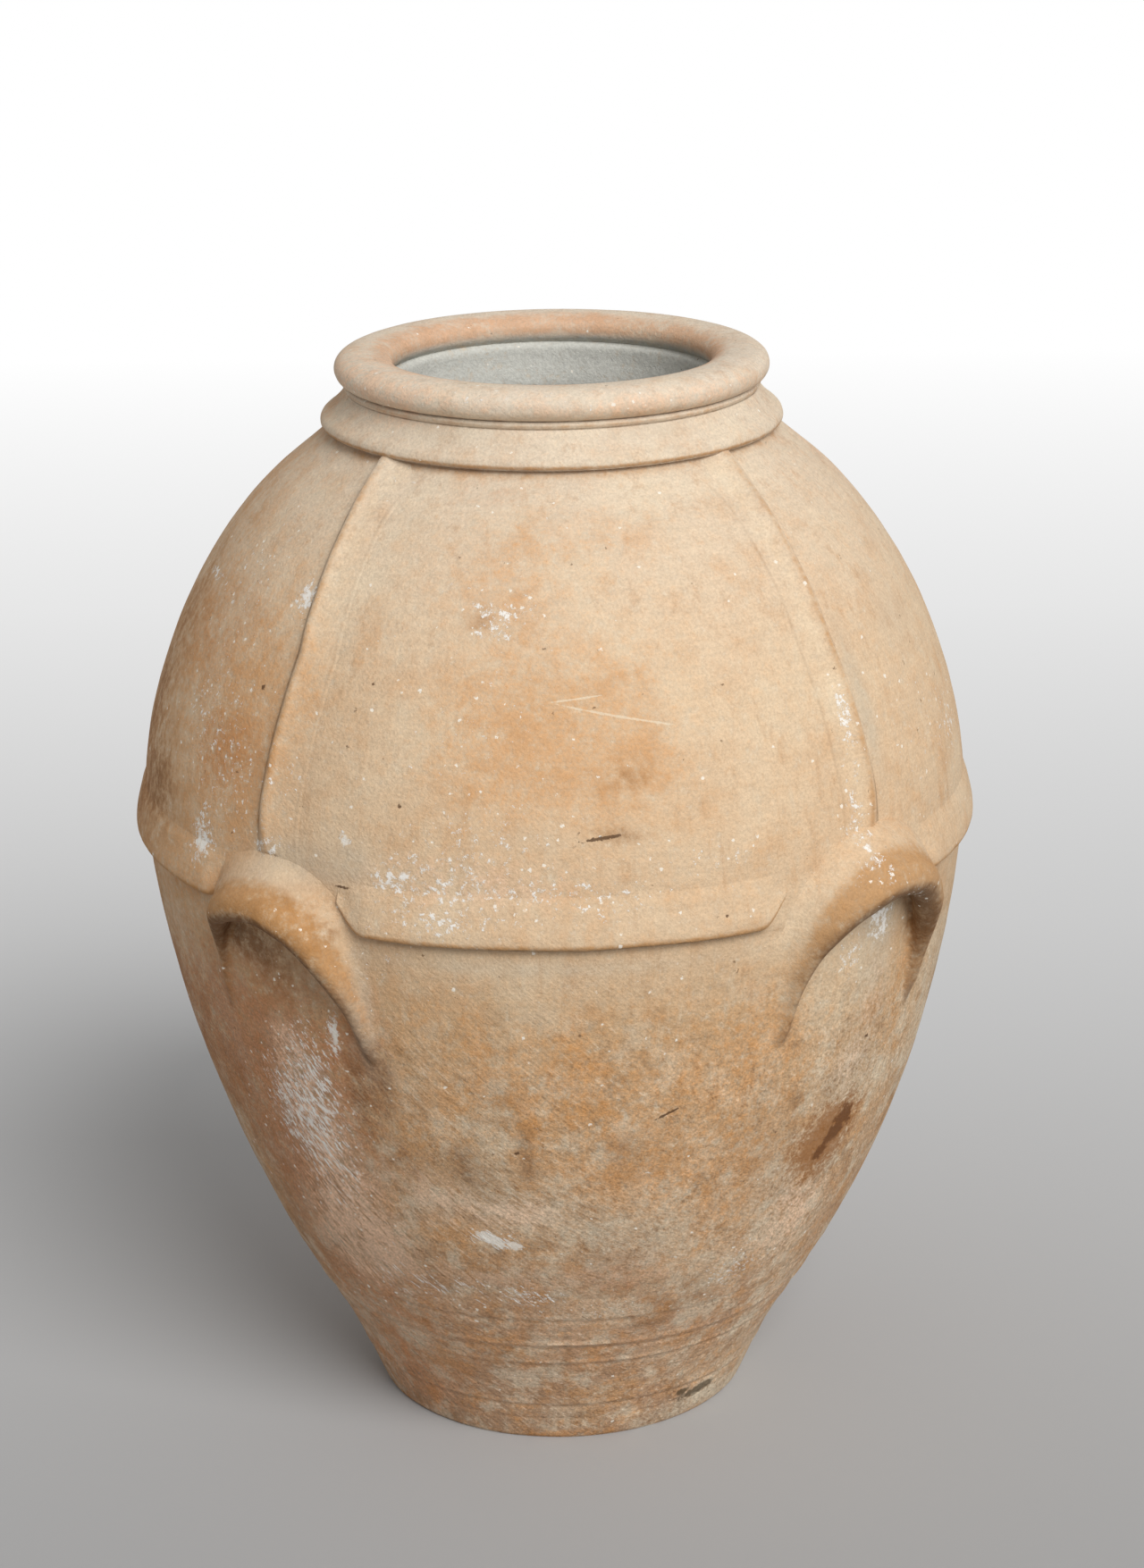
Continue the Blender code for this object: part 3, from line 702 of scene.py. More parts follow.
def coil_of_clay(name, stations):
    """A coil on the bench, from stations of sideways, out, height and thickness."""
    bpy.ops.object.select_all(action="DESELECT")
    bpy.ops.curve.primitive_bezier_curve_add()
    piece = bpy.context.object
    piece.name = name
    data = piece.data
    data.splines.clear()
    data.resolution_u = data.render_resolution_u = COIL_STEPS
    data.bevel_depth = 1.0
    data.bevel_resolution = COIL_ROUNDNESS
    data.use_fill_caps = True
    line = data.splines.new("BEZIER")
    line.bezier_points.add(len(stations) - 1)
    for knot, (across, out, height, thickness) in zip(line.bezier_points, stations):
        knot.co = (across, out, height)
        knot.radius = thickness / 2
        knot.handle_left_type = knot.handle_right_type = "AUTO"
    only(piece)
    bpy.ops.object.convert(target="MESH")
    return closed_up(bpy.context.object)


def arch_shares(low_leg, high_leg):
    """The whole arch from leg to leg, with each leg thinned by its own share below the crown."""
    stations = []
    for sign, half, leg in ((-1, LUG_ARCH_SHARES[:0:-1], low_leg), (1, LUG_ARCH_SHARES, high_leg)):
        for side, up, out, thick in half:
            kept = leg + (1.0 - leg) * max(0.0, min(1.0, (up - LEG_TO) / LEG_OVER))
            stations.append((sign * side, up, out * kept if out > 0 else out, thick * kept))
    return stations


def lug_line(half_span, low_leg, high_leg, rise, full):
    """The stations of a lug's own coil on the bench."""
    return [
        (side * half_span, out * LUG_STAND, LUG_FOOT_HEIGHT + up * rise, thick * LUG_THICKNESS * full)
        for side, up, out, thick in arch_shares(low_leg, high_leg)
    ]


def pressed_line(half_span, low_leg, high_leg, rise, full, outside, out, thickness):
    """Stations of the clay pressed in outside the arch. It thins and sinks as it runs down the legs."""
    stations = []
    for side, up, _, _ in arch_shares(low_leg, high_leg):
        if up < LOWEST_PRESSED_SHARE:
            continue
        lean = side * PRESSED_LEAN
        left = max(up, 0.0)
        offset = OFFSET_LEFT + (1.0 - OFFSET_LEFT) * left
        across = side * half_span + lean * outside * full * offset
        height = LUG_FOOT_HEIGHT + up * rise + math.sqrt(1.0 - lean * lean) * outside * full
        sunk = out * full * left - PRESSED_SINK * (1.0 - left)
        thick = thickness * full * (THICKNESS_LEFT + (1.0 - THICKNESS_LEFT) * left)
        stations.append((across, sunk, height, thick))
    return stations


print("stations along a lug's coil:", len(arch_shares(1.0, 1.0)))

# %% [markdown]
# While a lug is still on the bench, each vertex also learns how near it is to the coil's own line. The bare
# coil was rubbed by hands and ropes and is a stronger ochre than the pressed clay, and the material reads
# that number to colour it. Then the finished lug is laid round the jar at its azimuth, so that what was flat
# follows the wall and what stood out stands square to it.

# %% Fuse four lugs and lay them on the wall
HANDLE_AZIMUTHS_DEG = (-2.0, 89.53, 181.07, 272.6)


def off_the_coil(places, line):
    """How far each place lies from the surface of a lug's own coil, in metres."""
    nearest = np.full(len(places), 1.0)
    for across, out, height, thickness in eased(line, steps=4):
        far = np.sqrt(((places - (across, out, height)) ** 2).sum(axis=1)) - thickness / 2
        nearest = np.minimum(nearest, far)
    return nearest


def smooth_by_thumb(lug, steps, weights=None):
    """Smooths a mesh by so many steps, where the weights say."""
    thumb = lug.modifiers.new("thumb", "SMOOTH")
    thumb.factor = THUMB_SHARE
    thumb.iterations = steps
    if weights is not None:
        touched = lug.vertex_groups.new(name="touched")
        for number, weight in enumerate(weights.tolist()):
            if weight > 0:
                touched.add([number], weight, "REPLACE")
        thumb.vertex_group = touched.name
    bpy.ops.object.modifier_apply(modifier=thumb.name)


def bench_lug(name, shape):
    """A lug on its pad, fused and smoothed."""
    line = lug_line(*shape)
    parts = [coil_of_clay(name, line)]
    for sizes in PRESSED_CLAY:
        parts.append(coil_of_clay("pressed_clay", pressed_line(*shape, *sizes)))
    bpy.ops.object.select_all(action="DESELECT")
    bpy.ops.mesh.primitive_cylinder_add(
        vertices=PAD_SIDES, radius=PAD_RADIUS, depth=PAD_DEPTH, rotation=(math.pi / 2, 0.0, 0.0),
        location=(0.0, -PAD_UNDER - PAD_DEPTH / 2, PAD_HEIGHT),
    )
    parts.append(bpy.context.object)
    for part in parts:
        part.select_set(True)
    bpy.context.view_layer.objects.active = parts[0]
    bpy.ops.object.join()
    lug = bpy.context.object
    lug.data.name = name
    bpy.ops.object.transform_apply(location=True, rotation=True, scale=True)
    fuse = lug.modifiers.new("fuse", "REMESH")
    fuse.mode = "VOXEL"
    fuse.voxel_size = LUG_VOXEL
    bpy.ops.object.modifier_apply(modifier=fuse.name)
    smooth_by_thumb(lug, LUG_SMOOTH_STEPS)
    places = places_of(lug)
    arch = np.array(line)
    over = places[:, 2] - np.interp(places[:, 0], arch[:, 0], arch[:, 2], left=0.0, right=0.0)
    outside = (over > 0) & (places[:, 1] > -PAD_DEPTH / 2)
    web = np.clip((off_the_coil(places, line) + WEB_SOFT_INSIDE) / WEB_SOFT_OVER, 0.0, 1.0) * outside
    smooth_by_thumb(lug, WEB_SMOOTH_STEPS, web)
    return lug


def lay_on_wall(piece, azimuth):
    """Bends a bench piece round the jar at an azimuth, in radians."""
    across, out, height = places_of(piece).T
    facing_out, facing_up = wall_facing(np.minimum(height, SHOULDER_HEIGHT))
    radius = wall_radius(height) + facing_out * out
    angle = azimuth + across / np.maximum(wall_radius(height), SHOULDER_RADIUS)
    put_round(piece, angle, radius, height + facing_up * out)
    closed_up(piece)


for side, azimuth_deg in zip(HANDLE_SIDES, HANDLE_AZIMUTHS_DEG):
    lean, *shape = LUG_SIZES[side]
    lug = bench_lug("lug_" + side, shape)
    places = places_of(lug)
    off = off_the_coil(places, lug_line(*shape))
    near = np.clip(1.0 - off / COIL_FADE, 0.0, 1.0)
    crown = np.clip((places[:, 2] - LUG_BARE_FROM) / (LUG_BARE_TO - LUG_BARE_FROM), 0.0, 1.0)
    facing = np.empty(len(places) * 3)
    lug.data.vertex_normals.foreach_get("vector", facing)
    under = np.clip(UNDER_LEVEL - UNDER_SLOPE * facing[2::3], 0.0, 1.0)
    worn = LEGS_RUBBED + (1.0 - LEGS_RUBBED) * crown
    add_number(lug, "rubbed", near * worn * (1.0 - UNDER_SPARED * under))
    # Painted shade on the underside of the coil, where it faces down
    add_number(lug, "painted_shade", near * under * LUG_PAINTED_SHADE)
    standing = np.clip(places[:, 1] / LUG_STAND, 0.0, 1.0)
    # The half span shifts the noise, so that each lug wanders in its own way
    moved = places + shape[0]
    places[:, 0] += lean * (places[:, 2] - LUG_FOOT_HEIGHT)
    places[:, 1] += wandering(moved, LUG_OUT) * standing
    places[:, 2] += wandering(moved, LUG_UP) * standing
    put_places(lug, places)
    lay_on_wall(lug, math.radians(azimuth_deg))
    clay_pieces.append((lug, ("handle_" + side, "web_" + side)))
    print(lug.name, "has", len(lug.data.polygons), "faces")

# %% [markdown]
# ## Settle the pieces and hand them over
# Now every mesh is moved by the one field of unevenness, so that the seams stay shut, and shaded smooth. Each
# piece takes the place of the solids it stands for, which are hidden, and rides with the jar's only body.

# %% Settle, smooth and hand over every piece
ROOT = "root"
SMOOTH_DEG = 38.0


def settle(piece):
    """Moves a finished mesh by the shared field of unevenness."""
    places = places_of(piece)
    put_places(piece, places + field_at(places))


def smooth(piece):
    """Shades a mesh smooth, apart from its real edges."""
    only(piece)
    bpy.ops.object.shade_smooth_by_angle(angle=math.radians(SMOOTH_DEG))


for piece, nodes in clay_pieces:
    settle(piece)
    smooth(piece)
    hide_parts(*nodes)
    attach(piece, ROOT)
print("pieces of clay:", len(clay_pieces))

# %% [markdown]
# ## What the weather did
# The jar isn't one colour. The fire left orange clouds, the soil left rosy and brown stains, algae and dust
# went grey, and lime grew where water ran. Each of these is a layer of soft dabs, given as a place and a
# size, and each vertex keeps how strongly every layer covers it. The materials break the soft edges up. Some
# dabs are painted light and shade: rosy, dark and grey ones down the left side and round the left lug are
# partly painted shade, and two dusty ones on the left are partly painted light. The back isn't in the
# photograph, so it gets dabs of its own from seeded chance.

# %% Where the weather shows
# To the right of the lens in degrees, height in mm, half width in degrees, half height in mm, strength
DABS = {
    "ochre": (
        (10, 697, 9, 36, 0.4), (-9, 827, 12, 30, 0.36), (6, 856, 22, 20, 0.3), (-2, 713, 5, 40, 0.4),
        (11, 756, 9, 19, 0.3), (29, 447, 10, 49, 0.45), (2, 421, 11, 40, 0.4), (-20, 395, 8, 55, 0.4),
        (11, 312, 8, 43, 0.4), (-28, 776, 5, 38, 0.2), (2, 594, 5, 16, 0.35), (28, 293, 9, 61, 0.3),
        (47, 804, 6, 35, 0.2), (-17, 127, 13, 39, 0.2), (0, 4, 14, 6, 0.9), (-3, 690, 16, 70, 0.4),
        (-46, 640, 3, 50, 0.45), (-52, 720, 3, 60, 0.4), (0, 300, 30, 120, 0.25),
        (-12, 470, 16, 50, 0.25), (20, 380, 20, 80, 0.25), (-80, 680, 30, 200, 0.62),
        (-46, 680, 8, 110, 0.6), (-74, 570, 22, 40, 0.62), (4, 770, 14, 80, 0.22), (-10, 740, 8, 60, 0.3),
        (20, 640, 12, 40, 0.12), (56, 460, 6, 60, 0.35), (-4.5, 385, 1.4, 45, 0.75),
        (-10.5, 440, 1.5, 40, 0.6), (8.7, 323, 5, 20, 0.45), (49.5, 437, 2, 18, 0.7),
        (-38, 556, 8, 30, 0.62), (-37, 717, 3, 60, 0.4), (-50, 948, 25, 10, 0.15), (20, 943, 30, 8, 0.35),
        (60, 948, 16, 12, 0.3),
    ),
    # Rosy dabs far to the left, from -65 to -84 degrees, are partly soil stain and partly painted shade on
    # the side turned from the key light
    "rosy": (
        (-50, 669, 9, 41, 0.55), (-46, 406, 20, 131, 0.6), (-44, 282, 15, 104, 0.6),
        (-43, 161, 20, 86, 0.4), (11, 220, 8, 33, 0.35), (-65, 755, 18, 51, 0.3), (-28, 452, 4, 53, 0.5),
        (-11, 879, 12, 17, 0.2), (-50, 48, 30, 70, 0.4), (-70, 400, 26, 90, 0.5),
        (-84, 620, 16, 120, 0.45), (12, 130, 40, 80, 0.2),
    ),
    # Dark dabs far to the left, from -66 to -86 degrees, are partly painted shade on the side turned from the
    # key light. Those round the left lug, from -32 to -46 degrees and 500 to 600 mm high, are painted shade
    # in the hollow under its arch, under its coil and on its web.
    "dark": (
        (-25, 408, 2, 46, 0.5), (-21, 292, 17, 45, 0.12), (-32, 206, 15, 54, 0.1), (-3, 203, 29, 39, 0.3),
        (35, 339, 13, 58, 0.25), (-72, 376, 24, 137, 0.3), (-66, 180, 20, 120, 0.25),
        (-8, 398, 5, 36, 0.3), (10, 350, 7, 37, 0.3), (-24, 331, 8, 48, 0.12), (9, 639, 5, 11, 0.35),
        (10, 684, 5, 20, 0.25), (-11, 795, 4, 19, 0.25), (-69, 611, 9, 45, 0.35), (24, 164, 11, 37, 0.3),
        (-80, 700, 12, 160, 0.3), (0, 0, 60, 12, 0.25), (-34, 600, 8, 20, 0.16), (-46, 520, 5, 18, 0.65),
        (-40, 500, 6, 40, 0.35), (-32, 534, 4, 16, 0.45), (-39, 566, 8, 14, 0.5), (-34, 548, 6, 10, 0.4),
        (-4.5, 345, 1.5, 30, 0.55), (-29, 400, 2.5, 50, 0.55), (-86, 350, 10, 250, 0.45),
        (-20, 340, 5, 30, 0.18), (-14, 335, 2.5, 22, 0.5), (58, 510, 5, 30, 0.5), (-55, 938, 16, 5, 0.2),
    ),
    # Grey dabs on the left lug's web, at -42 and -34 degrees, are partly painted shade that dulls a face
    # turned up to the light
    "grey": (
        (-26.5, 475, 1.6, 55, 0.8), (49, 705, 2.5, 71, 0.55), (49, 495, 5, 60, 0.42),
        (49, 528, 3.5, 22, 0.8), (38, 277, 10, 66, 0.35), (0, 529, 28, 9, 0.4), (-35, 677, 4, 41, 0.25),
        (-35, 325, 9, 60, 0.12), (66, 753, 9, 33, 0.3), (-2, 638, 10, 13, 0.25), (-27, 613, 3, 18, 0.4),
        (40, 14, 24, 14, 0.55), (-30, 925, 24, 14, 0.35), (30, 925, 26, 12, 0.3), (75, 420, 12, 110, 0.4),
        (-6, 948, 20, 12, 0.25), (-42, 577, 6, 22, 0.4), (-34, 600, 9, 22, 0.45), (-10, 300, 12, 50, 0.4),
        (14, 250, 10, 40, 0.4), (5, 275, 9, 40, 0.35), (-38, 250, 8, 40, 0.15), (-40, 410, 5, 40, 0.15),
        (-20, 420, 8, 50, 0.3), (48, 380, 8, 60, 0.4),
    ),
    # Two dusty dabs on the left, at -40 degrees low down and at -60 degrees on the rim, are partly painted
    # light that lifts the side turned from the key light
    "dusty": (
        (-38, 300, 7, 80, 0.6), (-41, 400, 5, 60, 0.5), (-34, 240, 8, 40, 0.45), (50, 470, 6, 70, 0.22),
        (47, 380, 5, 40, 0.28), (44, 240, 9, 50, 0.5), (-40, 225, 11, 50, 0.75), (-6, 210, 30, 16, 0.45),
        (-60, 952, 40, 12, 0.8), (30, 950, 50, 10, 0.45), (-20, 300, 6, 30, 0.5), (-8, 285, 10, 20, 0.5),
        (-42, 575, 8, 16, 0.3), (-10, 600, 20, 30, 0.35), (-45, 930, 20, 12, 0.4),
    ),
    "lime": (
        (-44, 799, 3, 16, 1.0), (-75, 786, 6, 6, 0.9), (-54, 594, 3, 23, 1.0), (-40, 608, 3, 10, 0.8),
        (-28, 626, 1.2, 7, 0.9), (-21, 599, 3, 9, 0.8), (-8, 802, 6, 22, 0.7), (43, 618, 2, 51, 0.75),
        (44, 704, 1.2, 39, 0.8), (49, 525, 3.5, 36, 1.0), (43, 495, 3, 34, 0.7), (74, 648, 6, 35, 0.6),
        (-11, 256, 5, 12, 0.9), (-5, 189, 6, 13, 0.7), (-37, 404, 4, 77, 0.7), (-44, 356, 7, 61, 0.7),
        (-32, 447, 1.2, 27, 1.0), (-25, 505, 4, 25, 0.3), (-21, 525, 6, 32, 0.35), (34, 219, 5, 47, 0.4),
        (-36, 890, 7, 16, 0.3), (-56, 694, 9, 52, 0.5), (-2, 595, 18, 19, 0.4), (23, 612, 8, 18, 0.4),
        (40, 580, 5, 11, 0.4), (-14, 569, 7, 11, 0.6), (-38, 666, 5, 27, 0.4), (34, 193, 12, 17, 0.5),
        (-18, 196, 14, 18, 0.5), (-70, 940, 20, 14, 0.35), (-16, 600, 13, 45, 0.45),
        (-5, 640, 12, 30, 0.35), (-48, 640, 8, 60, 0.4), (-38, 330, 9, 110, 0.6), (62, 660, 8, 60, 0.35),
        (10, 580, 12, 25, 0.3), (-60, 800, 10, 60, 0.4), (-30, 180, 14, 30, 0.45), (8, 170, 20, 20, 0.4),
        (-20, 954, 30, 10, 0.35), (40, 952, 30, 10, 0.25), (-10, 720, 14, 70, 0.3),
    ),
}
# The back's dabs: how far right and how high, then the half height as a share of the layer's longest, the
# half width as a share of that, and the strength
BACK_DEG, BACK_HEIGHTS_MM = (88.0, 272.0), (60.0, 900.0)
BACK_LENGTHS, BACK_WIDTHS, BACK_STRENGTHS = (0.2, 1.0), (0.4, 1.0), (0.3, 0.75)
BACK_DABS = {"ochre": 12, "rosy": 8, "dark": 10, "grey": 10, "dusty": 12, "lime": 24}
BACK_LONGEST_MM = {"ochre": 90, "rosy": 110, "dark": 80, "grey": 70, "dusty": 80, "lime": 40}
BACK_SEED = 31

chance = random.Random(BACK_SEED)
layers = {}
for layer, dabs in DABS.items():
    layers[layer] = list(dabs)
    for _ in range(BACK_DABS[layer]):
        half_high = chance.uniform(*BACK_LENGTHS) * BACK_LONGEST_MM[layer]
        right, height = chance.uniform(*BACK_DEG), chance.uniform(*BACK_HEIGHTS_MM)
        half_wide = math.degrees(half_high * MM / BELLY_RADIUS) * chance.uniform(*BACK_WIDTHS)
        layers[layer].append((right, height, half_wide, half_high, chance.uniform(*BACK_STRENGTHS)))
    print(layer, "has", len(layers[layer]), "dabs")

# %% [markdown]
# A few more layers come from the shape. The inside never saw the sun and is blue-grey. Shade is painted in as
# a dark brown in the creases under the rim, the collar and the belt, along the ribs and under the lugs. What
# stands proud, such as a coil or a lip, was rubbed by hands and ropes until the ochre body showed. The
# smeared side of each rib is paler, and the rim's inner slope has a warm blush.

# %% Paint every piece
INSIDE_DEPTH = 6.0 * MM
# The neck's bore is grey inside this radius and below this height
NECK_GREY_RADIUS, NECK_GREY_HEIGHT = 0.1505, 0.938
# The rim's inside is grey from this height down, over this much of it, and not quite as strongly. Above
# that, its inner slope has a blush that fades out on the top.
RIM_INSIDE_RADIUS, RIM_GREY_FROM, RIM_GREY_OVER, RIM_GREY = 0.1565, 0.949, 0.010, 0.75
BLUSH_OUT, BLUSH_OVER = 0.004, 0.016
# Painted shade in the creases, and rubbed edges, round the neck, only outside these radii: height, half
# height, strength
NECK_SHADES_OUTSIDE, NECK_RUBBED_OUTSIDE = 0.16, 0.17
NECK_PAINTED_SHADES = ((0.9385, 1.7 * MM, 0.75), (0.9296, 0.9 * MM, 0.5), (0.8995, 0.9 * MM, 0.45))
NECK_RUBBED = ((0.9022, 1.8 * MM, 0.85), (0.9325, 1.5 * MM, 0.5), (0.8950, 3.5 * MM, 0.5))
BELT_SHADOWS = ((0.5435, 4.5 * MM, 0.28),)
# Painted shade in the groove of the rim
RIM_PAINTED_SHADES = ((0.9355, 2.0 * MM, 0.8),)
# The azimuth of the photographed side
view_azimuth = math.radians(VIEW_TURN_DEG - 90.0)


def painted(places, dabs):
    """How strongly the dabs of one layer cover each place, from 0 to 1."""
    right = np.degrees(np.arctan2(places[:, 1], places[:, 0]) - view_azimuth)
    bare = np.ones(len(places))
    for dab_right, height, half_wide, half_high, strength in dabs:
        across = (right - dab_right + 180.0) % 360.0 - 180.0
        far = (across / half_wide) ** 2 + ((places[:, 2] / MM - height) / half_high) ** 2
        bare *= 1.0 - strength * np.exp(-far)
    return 1.0 - bare


def taken_off(piece, name):
    """Takes off a number that a piece's vertices already carry, and gives it back, or zeros."""
    values = np.zeros(len(piece.data.vertices), dtype=np.float32)
    if name in piece.data.attributes:
        piece.data.attributes[name].data.foreach_get("value", values)
        piece.data.attributes.remove(piece.data.attributes[name])
    return values


def paint(piece, node):
    """Gives a piece all its layers."""
    places = places_of(piece)
    radius, height = np.hypot(places[:, 0], places[:, 1]), places[:, 2]
    out, _ = wall_facing(np.minimum(height, SHOULDER_HEIGHT))
    depth = (wall_radius(height) - radius) * out
    inside = np.zeros(len(places))
    # Shade painted into creases and under edges, which the belts, ribs and lugs already carry
    rubbed, painted_shade = taken_off(piece, "rubbed"), taken_off(piece, "painted_shade")
    if node.endswith("_wall"):
        inside = (depth > INSIDE_DEPTH) * 1.0
        # Painted shade under the belt's lip, all round the wall
        painted_shade += banded(height, BELT_SHADOWS)
    elif node == "base_slab":
        inside = ((height > SLAB_THICKNESS / 2) & (depth > INSIDE_DEPTH)) * 1.0
    elif node == "neck_collar":
        inside = ((radius < NECK_GREY_RADIUS) & (height < NECK_GREY_HEIGHT)) * 1.0
        # Painted shade in the creases round the neck
        painted_shade += banded(height, NECK_PAINTED_SHADES) * (radius > NECK_SHADES_OUTSIDE)
        rubbed += banded(height, NECK_RUBBED) * (radius > NECK_RUBBED_OUTSIDE)
    elif node == "rim_roll":
        lower = np.clip((RIM_GREY_FROM - height) / RIM_GREY_OVER, 0.0, 1.0) * (radius < RIM_INSIDE_RADIUS)
        inside = lower * RIM_GREY
        # Painted shade in the rim's groove
        painted_shade += banded(height, RIM_PAINTED_SHADES)
        slope = np.clip((RIM_INSIDE_RADIUS + BLUSH_OUT - radius) / BLUSH_OVER, 0.0, 1.0)
        add_number(piece, "blush", slope * (1.0 - lower))
    add_number(piece, "inside", inside)
    add_number(piece, "rubbed", rubbed)
    add_number(piece, "painted_shade", painted_shade)
    for layer, dabs in layers.items():
        add_number(piece, layer, painted(places, dabs))


for piece, nodes in clay_pieces:
    paint(piece, nodes[0])
print("layers on", clay_pieces[0][0].name + ":", sorted(layers))

# %% [markdown]
# ## Two small helpers for the finishes
# Colours are written as hex values, the way that a paint chart gives them, and turned to the linear values
# that Blender counts in. Materials are built from nodes, and one small function adds any node.

# %% Turn a hex colour to linear, and add a node
def to_linear(hex_colour):
    """An sRGB hex value as linear red, green, blue and alpha."""
    parts = [int(hex_colour[start:start + 2], 16) / 255 for start in (1, 3, 5)]
    return (*[part / 12.92 if part <= 0.04045 else ((part + 0.055) / 1.055) ** 2.4 for part in parts], 1.0)


def add_node(material, kind, inputs, output=0, **settings):
    """Adds a node with its settings, sets or links its inputs, and gives back one of its outputs."""
    node = material.node_tree.nodes.new("ShaderNode" + kind)
    for name, value in settings.items():
        setattr(node, name, value)
    for name, value in inputs.items():
        if isinstance(value, bpy.types.NodeSocket):
            material.node_tree.links.new(value, node.inputs[name])
        else:
            node.inputs[name].default_value = value
    return node.outputs[output] if node.outputs else node


print("mid grey, linear:", round(to_linear("#808080")[0], 3))

# %% [markdown]
# ## Fired clay
# The material is coarse terracotta, built by hand, smoothed wet on a slow wheel and fired without a glaze. It
# is quite matt, so the colour does all the work. The ground is a cream slip that the wheel drew to the
# surface, paler above and browner below, clouded by the fire. Low down the jar stood in soil, so there it is
# rougher, patched and scraped. All patterns lie in the jar's own space, so they run on across the seams.

# %% The ground colour of the clay
# Height in metres, and the colour there
HEIGHT_COLOURS = (
    (0.0, "#AE8D70"), (0.13, "#BF9A7A"), (0.24, "#C4A07D"), (0.36, "#C8A681"), (0.47, "#CEAC85"),
    (0.56, "#D8BB99"), (0.64, "#DBBD9A"), (0.74, "#DCBF9D"), (0.83, "#DFC7AA"), (0.92, "#E0CFB8"),
    (1.0, "#E8D9C6"),
)
# Colour, pattern, from and to which level of it, cover above, and how much more cover below
GROUND_LOOKS = (
    ("#CB9865", "blotch", 0.46, 0.68, 0.30, 0.10),
    ("#BE8A57", "mottle", 0.56, 0.76, 0.30, 0.25),
    ("#F3E6CF", "mottle", 0.44, 0.26, 0.35, 0.10),
    ("#EAD9BC", "cloud", 0.45, 0.70, 0.35, 0.00),
    ("#C99259", "patch_red", 0.48, 0.64, 0.14, 0.36),
    ("#97714C", "patch_green", 0.50, 0.64, 0.03, 0.50),
    ("#E3D6BD", "patch_blue", 0.47, 0.63, 0.06, 0.50),
    ("#A8794C", "streak", 0.52, 0.68, 0.25, 0.30),
    ("#E9D8BC", "streak", 0.46, 0.34, 0.24, 0.10),
    ("#EBDFC9", "scrape", 0.56, 0.72, 0.03, 0.46),
    ("#835C3A", "scrape", 0.44, 0.28, 0.02, 0.46),
)
# The blotches shift the ground's levels up and down by half of this, in metres
LEVEL_SHIFT = 0.10


def laid_over(finish, under, over, pattern, low, high, cover):
    """Lays a colour over another where a pattern rises, or falls, from one level to another."""
    share = add_node(
        finish, "MapRange", {"Value": pattern, "From Min": low, "From Max": high, "To Max": cover},
        interpolation_type="SMOOTHSTEP",
    )
    # A Mix node takes its colours at inputs 6 and 7 and gives them at output 2
    return add_node(finish, "Mix", {0: share, 6: under, 7: over}, 2, data_type="RGBA")


def ground(finish, patterns):
    """The colour of the clay before the weather."""
    level = add_node(
        finish, "Math", {0: patterns["blotch"], 1: LEVEL_SHIFT, 2: patterns["height"]},
        operation="MULTIPLY_ADD",
    )
    level = add_node(finish, "Math", {0: level, 1: LEVEL_SHIFT / 2}, operation="SUBTRACT")
    colour = add_node(finish, "ValToRGB", {"Fac": level})
    stops = colour.node.color_ramp.elements
    for height, hex_colour in HEIGHT_COLOURS[1:-1]:
        stops.new(height).color = to_linear(hex_colour)
    stops[0].color = to_linear(HEIGHT_COLOURS[0][1])
    stops[-1].color = to_linear(HEIGHT_COLOURS[-1][1])
    for hex_colour, pattern, low, high, cover, more_below in GROUND_LOOKS:
        cover = add_node(
            finish, "Math", {0: patterns["low_down"], 1: more_below, 2: cover}, operation="MULTIPLY_ADD"
        )
        colour = laid_over(finish, colour, to_linear(hex_colour), patterns[pattern], low, high, cover)
    return colour


print("ground colours:", len(HEIGHT_COLOURS) + len(GROUND_LOOKS))

# %% [markdown]
# Over the ground come the layers that were painted on the vertices. A soft dab alone looks like a spray can.
# So each layer is multiplied by a pattern first, and the product is cut at a level: where the layer is weak
# only the pattern's peaks get through as specks, and where it is strong the patch closes.

# %% Lay the weather over the ground
# Layer: colour, pattern that breaks it up, how much that counts, from and to which level, cover
LAYER_LOOKS = {
    "pale": ("#EBDABC", "broken", 0.5, 0.05, 0.9, 0.65),
    "rosy": ("#B57A52", "torn", 1.2, 0.04, 0.8, 0.76),
    "ochre": ("#CD9359", "broken", 1.1, 0.04, 0.8, 0.54),
    "blush": ("#CF9E78", "broken", 1.0, 0.05, 1.2, 0.70),
    "grey": ("#C6B9A3", "torn", 1.2, 0.05, 0.7, 0.62),
    "dusty": ("#E8C6A8", "torn", 1.9, 0.10, 0.9, 0.78),
    "dark": ("#714A27", "torn", 1.5, 0.06, 0.8, 0.68),
    "rubbed": ("#B4834E", "broken", 0.9, 0.05, 1.0, 0.72),
    # Painted shade: a dark brown laid into creases and under edges, where shade falls
    "painted_shade": ("#6A482A", "broken", 0.6, 0.04, 0.8, 0.80),
    "inside": ("#CCCDC6", "broken", 1.0, 0.05, 0.9, 0.92),
}
# The clay's own grain: pattern, how much it darkens and lightens above, and how much more below
GRAIN = (
    ("mottle", 0.048, 0.040), ("grit", 0.100, 0.120), ("wheel", 0.030, 0.010), ("streak", 0.025, 0.035),
    ("scrape", 0.012, 0.100),
)
# The levels of a pattern between which its grain goes from dark to light
GRAIN_FROM, GRAIN_TO = 0.36, 0.64
SPECK_PALE, PIT_DARK, LIME_WHITE = "#F8F0E2", "#6B4C30", "#F7F3EC"
# Lime: the level of the pattern it grows from, how far its layer lowers that, soft edge and cover
LIME_CUT, LIME_REACH, LIME_EDGE, LIME_COVER = 0.67, 0.24, 0.08, 0.90
